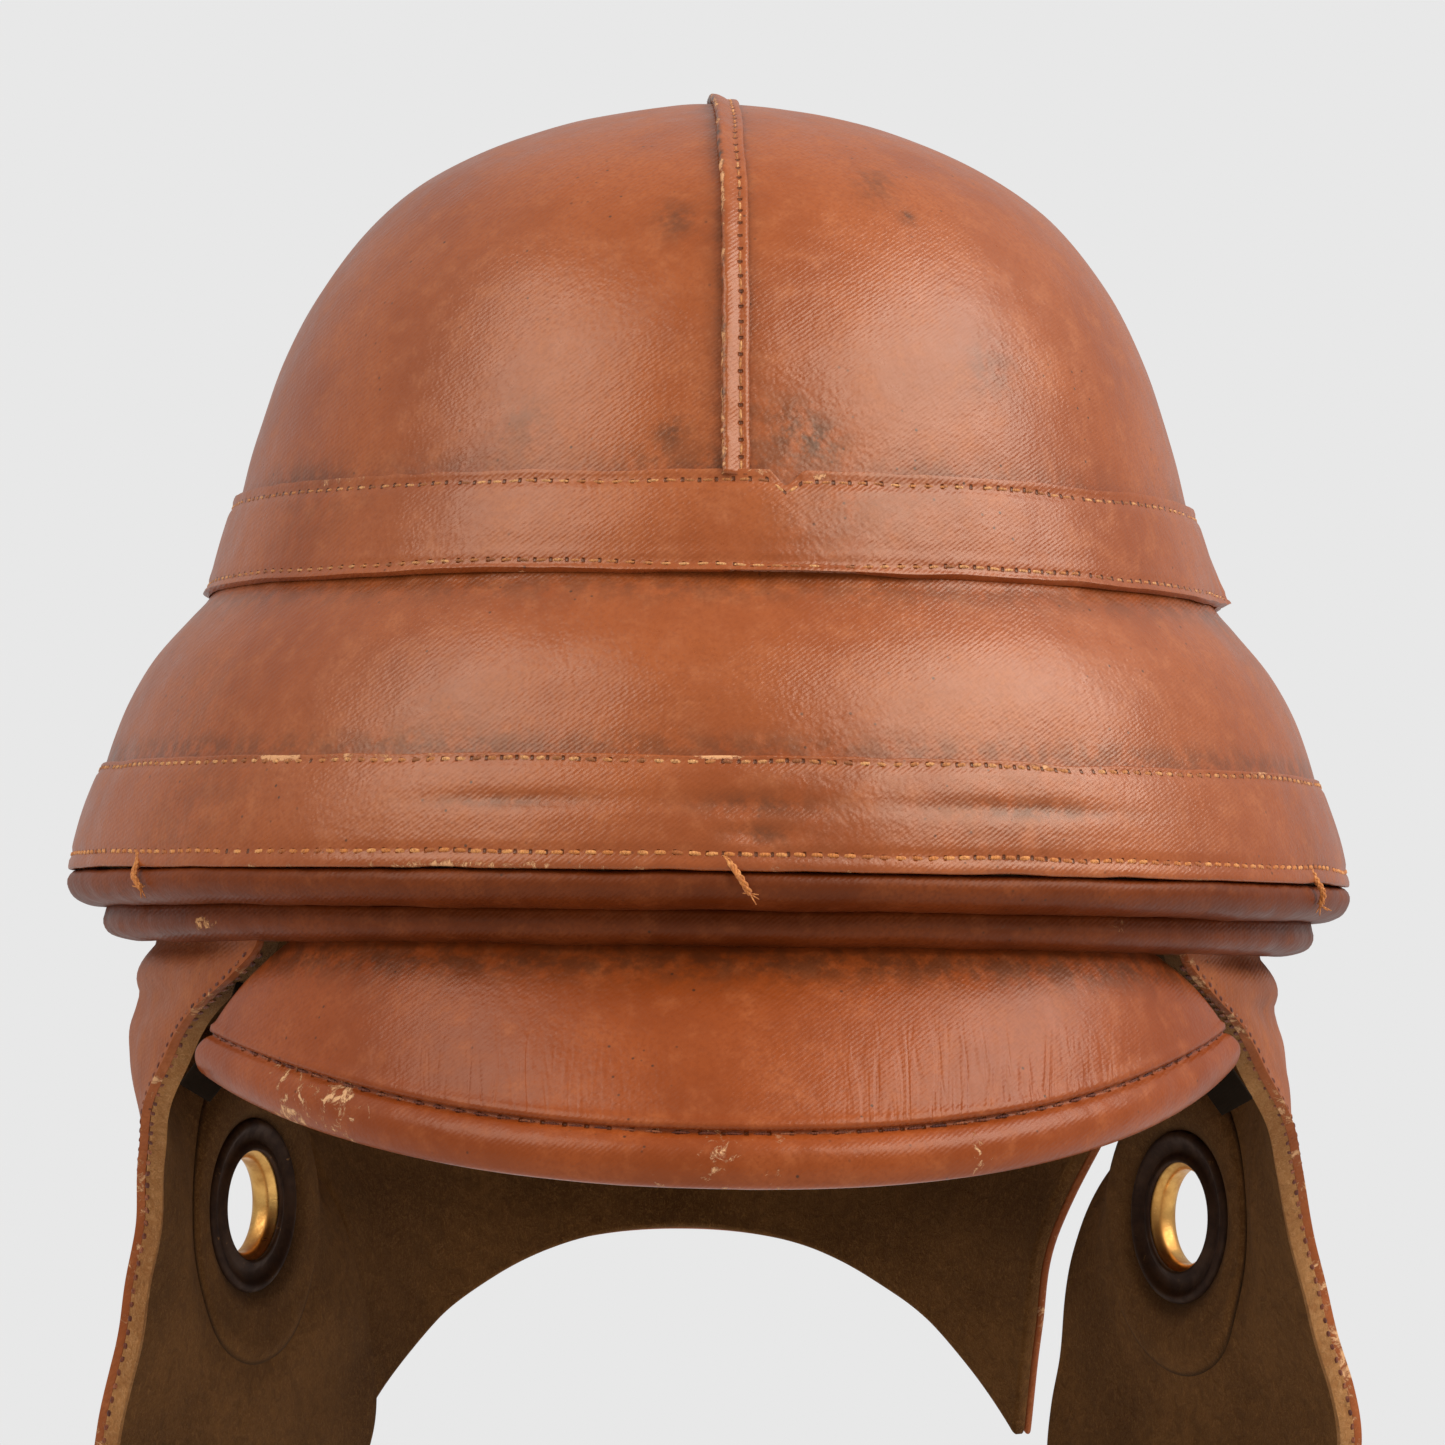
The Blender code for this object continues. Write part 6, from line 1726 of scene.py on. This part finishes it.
def tabs():
    """The leather tab sewn over each flap's tip."""
    half = STRAP_WIDTH / 2
    corner = half * 0.7
    for side, mirror in SIDES:
        rows = []
        for v in spread(0.0006, TAB_HEIGHT, 26):
            shoulder = max(0.0, (v - TAB_HEIGHT + corner) / corner)
            width = half * math.sqrt(1 - shoulder ** 2 * 0.93)
            rows.append([on_tab(width * u, v, mirror)[0] for u in spread(-1, 1, 21)])
        made = thick(grid_piece(f"tip_tab_{side}", rows), TAB_LEATHER, Vector((0, 0, -0.05)), 0.0004)
        middle = flipped(TIP @ Vector((0, 0, TAB_HEIGHT / 2)), mirror)
        dress(made, STRAP, f"ear_flap_{side}", "strap_leather", (f"strap_tab_{side}",),
              wear=lambda v, at=middle: 0.05 + 0.14 * smoothstep(((v.co - at).length - 0.007) / 0.003))
        x, y, foot = half * 0.75, TAB_HEIGHT - 0.0022, 0.0022
        route = ((-x, foot), (-x, y - 0.0033), (-x * 0.6, y), (x * 0.6, y), (x, y - 0.0033), (x, foot))
        spots = [on_tab(at.x, at.y, mirror) for at in resample([Vector(at) for at in route], 90)]
        line, ups = zip(*spots)
        stitches(f"tip_tab_stitches_{side}", line, ups, STRAP_PITCH, THREAD, f"ear_flap_{side}",
                 "strap_leather", seed=63)


# Solids that stay as they are


def dress_solids():
    """Gives the solids that nothing replaces their materials."""
    for material, names in ((CORK, ("crown_shell", "bell_shell")), (FELT_SOLID, ("felt_spacer_ring",)),
                            (CORD, ("outer_edge_roll_cord", "inner_edge_roll_cord"))):
        for name in names:
            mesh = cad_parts[name].data
            mesh.materials.clear()
            mesh.materials.append(material)


# Camera, lamps and floor

BACKDROP = 0.807
CAMERA_DISTANCE, CAMERA_YAW, CAMERA_ROLL = 1.4, math.radians(2.0), math.radians(0.8)
CAMERA_TARGET = Vector((0.0024, 0, 0.047))
LENS, SENSOR_WIDTH = 170.1, 36.0
# Name, azimuth, elevation, distance, width, height and radiance of each lamp
LAMPS = (("softbox_right", 64, 41, 1.5, 1.65, 0.95, 4.9), ("softbox_left", -58, 40, 1.5, 1.10, 0.95, 3.3))
SURROUNDING_LIGHT = 0.48
FLOOR_HEIGHT, FLOOR_RADIUS = -0.2925, 1.1


def camera():
    data = bpy.data.cameras.new("camera")
    data.lens, data.sensor_width = LENS, SENSOR_WIDTH
    data.clip_start, data.clip_end = 0.05, 50
    made = linked("camera", data)
    made.location = Vector((CAMERA_TARGET.x - CAMERA_DISTANCE * math.sin(CAMERA_YAW),
                            -CAMERA_DISTANCE * math.cos(CAMERA_YAW), 0.0))
    look = (CAMERA_TARGET - made.location).to_track_quat("-Z", "Y").to_matrix().to_4x4()
    made.rotation_euler = (look @ Matrix.Rotation(CAMERA_ROLL, 4, "Z")).to_euler()
    bpy.context.scene.camera = made


def lamp(name, azimuth, elevation, distance, wide, high, radiance):
    """A rectangular lamp: azimuth 0 is in front of the helmet, and it grows towards +X."""
    data = bpy.data.lights.new(name, "AREA")
    data.shape, data.size, data.size_y = "RECTANGLE", wide, high
    data.energy = radiance * math.pi * wide * high
    made = linked(name, data)
    a, e = math.radians(azimuth), math.radians(elevation)
    back = Vector((math.sin(a) * math.cos(e), -math.cos(a) * math.cos(e), math.sin(e)))
    made.location = Vector((0, 0, 0.03)) + back * distance
    made.rotation_euler = (-back).to_track_quat("-Z", "Y").to_euler()


def lights():
    """Two lamps and an even light all round; camera and transmission rays see a grey backdrop."""
    for values in LAMPS:
        lamp(*values)
    world = bpy.data.worlds.new("studio")
    world.use_nodes = True
    nodes, links = world.node_tree.nodes, world.node_tree.links
    nodes.clear()
    out, path = nodes.new("ShaderNodeOutputWorld"), nodes.new("ShaderNodeLightPath")
    lit, seen = nodes.new("ShaderNodeBackground"), nodes.new("ShaderNodeBackground")
    lit.inputs[0].default_value = (1, 1, 1, 1)
    lit.inputs[1].default_value = SURROUNDING_LIGHT
    seen.inputs[0].default_value = (BACKDROP, BACKDROP, BACKDROP, 1)
    seen.inputs[1].default_value = 1.0
    either, pick = nodes.new("ShaderNodeMath"), nodes.new("ShaderNodeMixShader")
    either.operation = "MAXIMUM"
    links.new(path.outputs["Is Camera Ray"], either.inputs[0])
    links.new(path.outputs["Is Transmission Ray"], either.inputs[1])
    links.new(either.outputs[0], pick.inputs[0])
    links.new(lit.outputs[0], pick.inputs[1])
    links.new(seen.outputs[0], pick.inputs[2])
    links.new(pick.outputs[0], out.inputs[0])
    bpy.context.scene.world = world


def floor():
    """A pale floor below the helmet."""
    bm = bmesh.new()
    place = Matrix.Translation((0, 0, FLOOR_HEIGHT))
    bmesh.ops.create_circle(bm, cap_ends=True, segments=96, radius=FLOOR_RADIUS, matrix=place)
    made = bm_piece("floor", bm)
    s = Shader("pale_floor", Specular_IOR_Level=0.1)
    grain = s.noise(s.add("TexCoord").outputs["Object"], 40.0, 4.0)
    colour = s.mix(grain, (0.72, 0.72, 0.72), (0.70, 0.70, 0.70))
    roughness = s.span(grain, 0.0, 1.0, 0.85, 0.95)
    made.data.materials.append(s.finish(colour, roughness, s.bump(grain, 0.0005, 0.2)))


bpy.context.scene.view_settings.view_transform = "Standard"
camera()
lights()
floor()
dress_solids()
seam_strip(crown())
bell()
crown_strip()
ties(brim_strip())
rolls()
flaps()
nape_curtain()
ear_fittings()
peak()
BAND_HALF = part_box("sweatband")[1].x
felt_lining()
brow_band(BAND_HALF)
rim_facing(BAND_HALF)
cradle(BAND_HALF)
crown_cushion()
strap()
chape()
keeper()
buckle()
tabs()
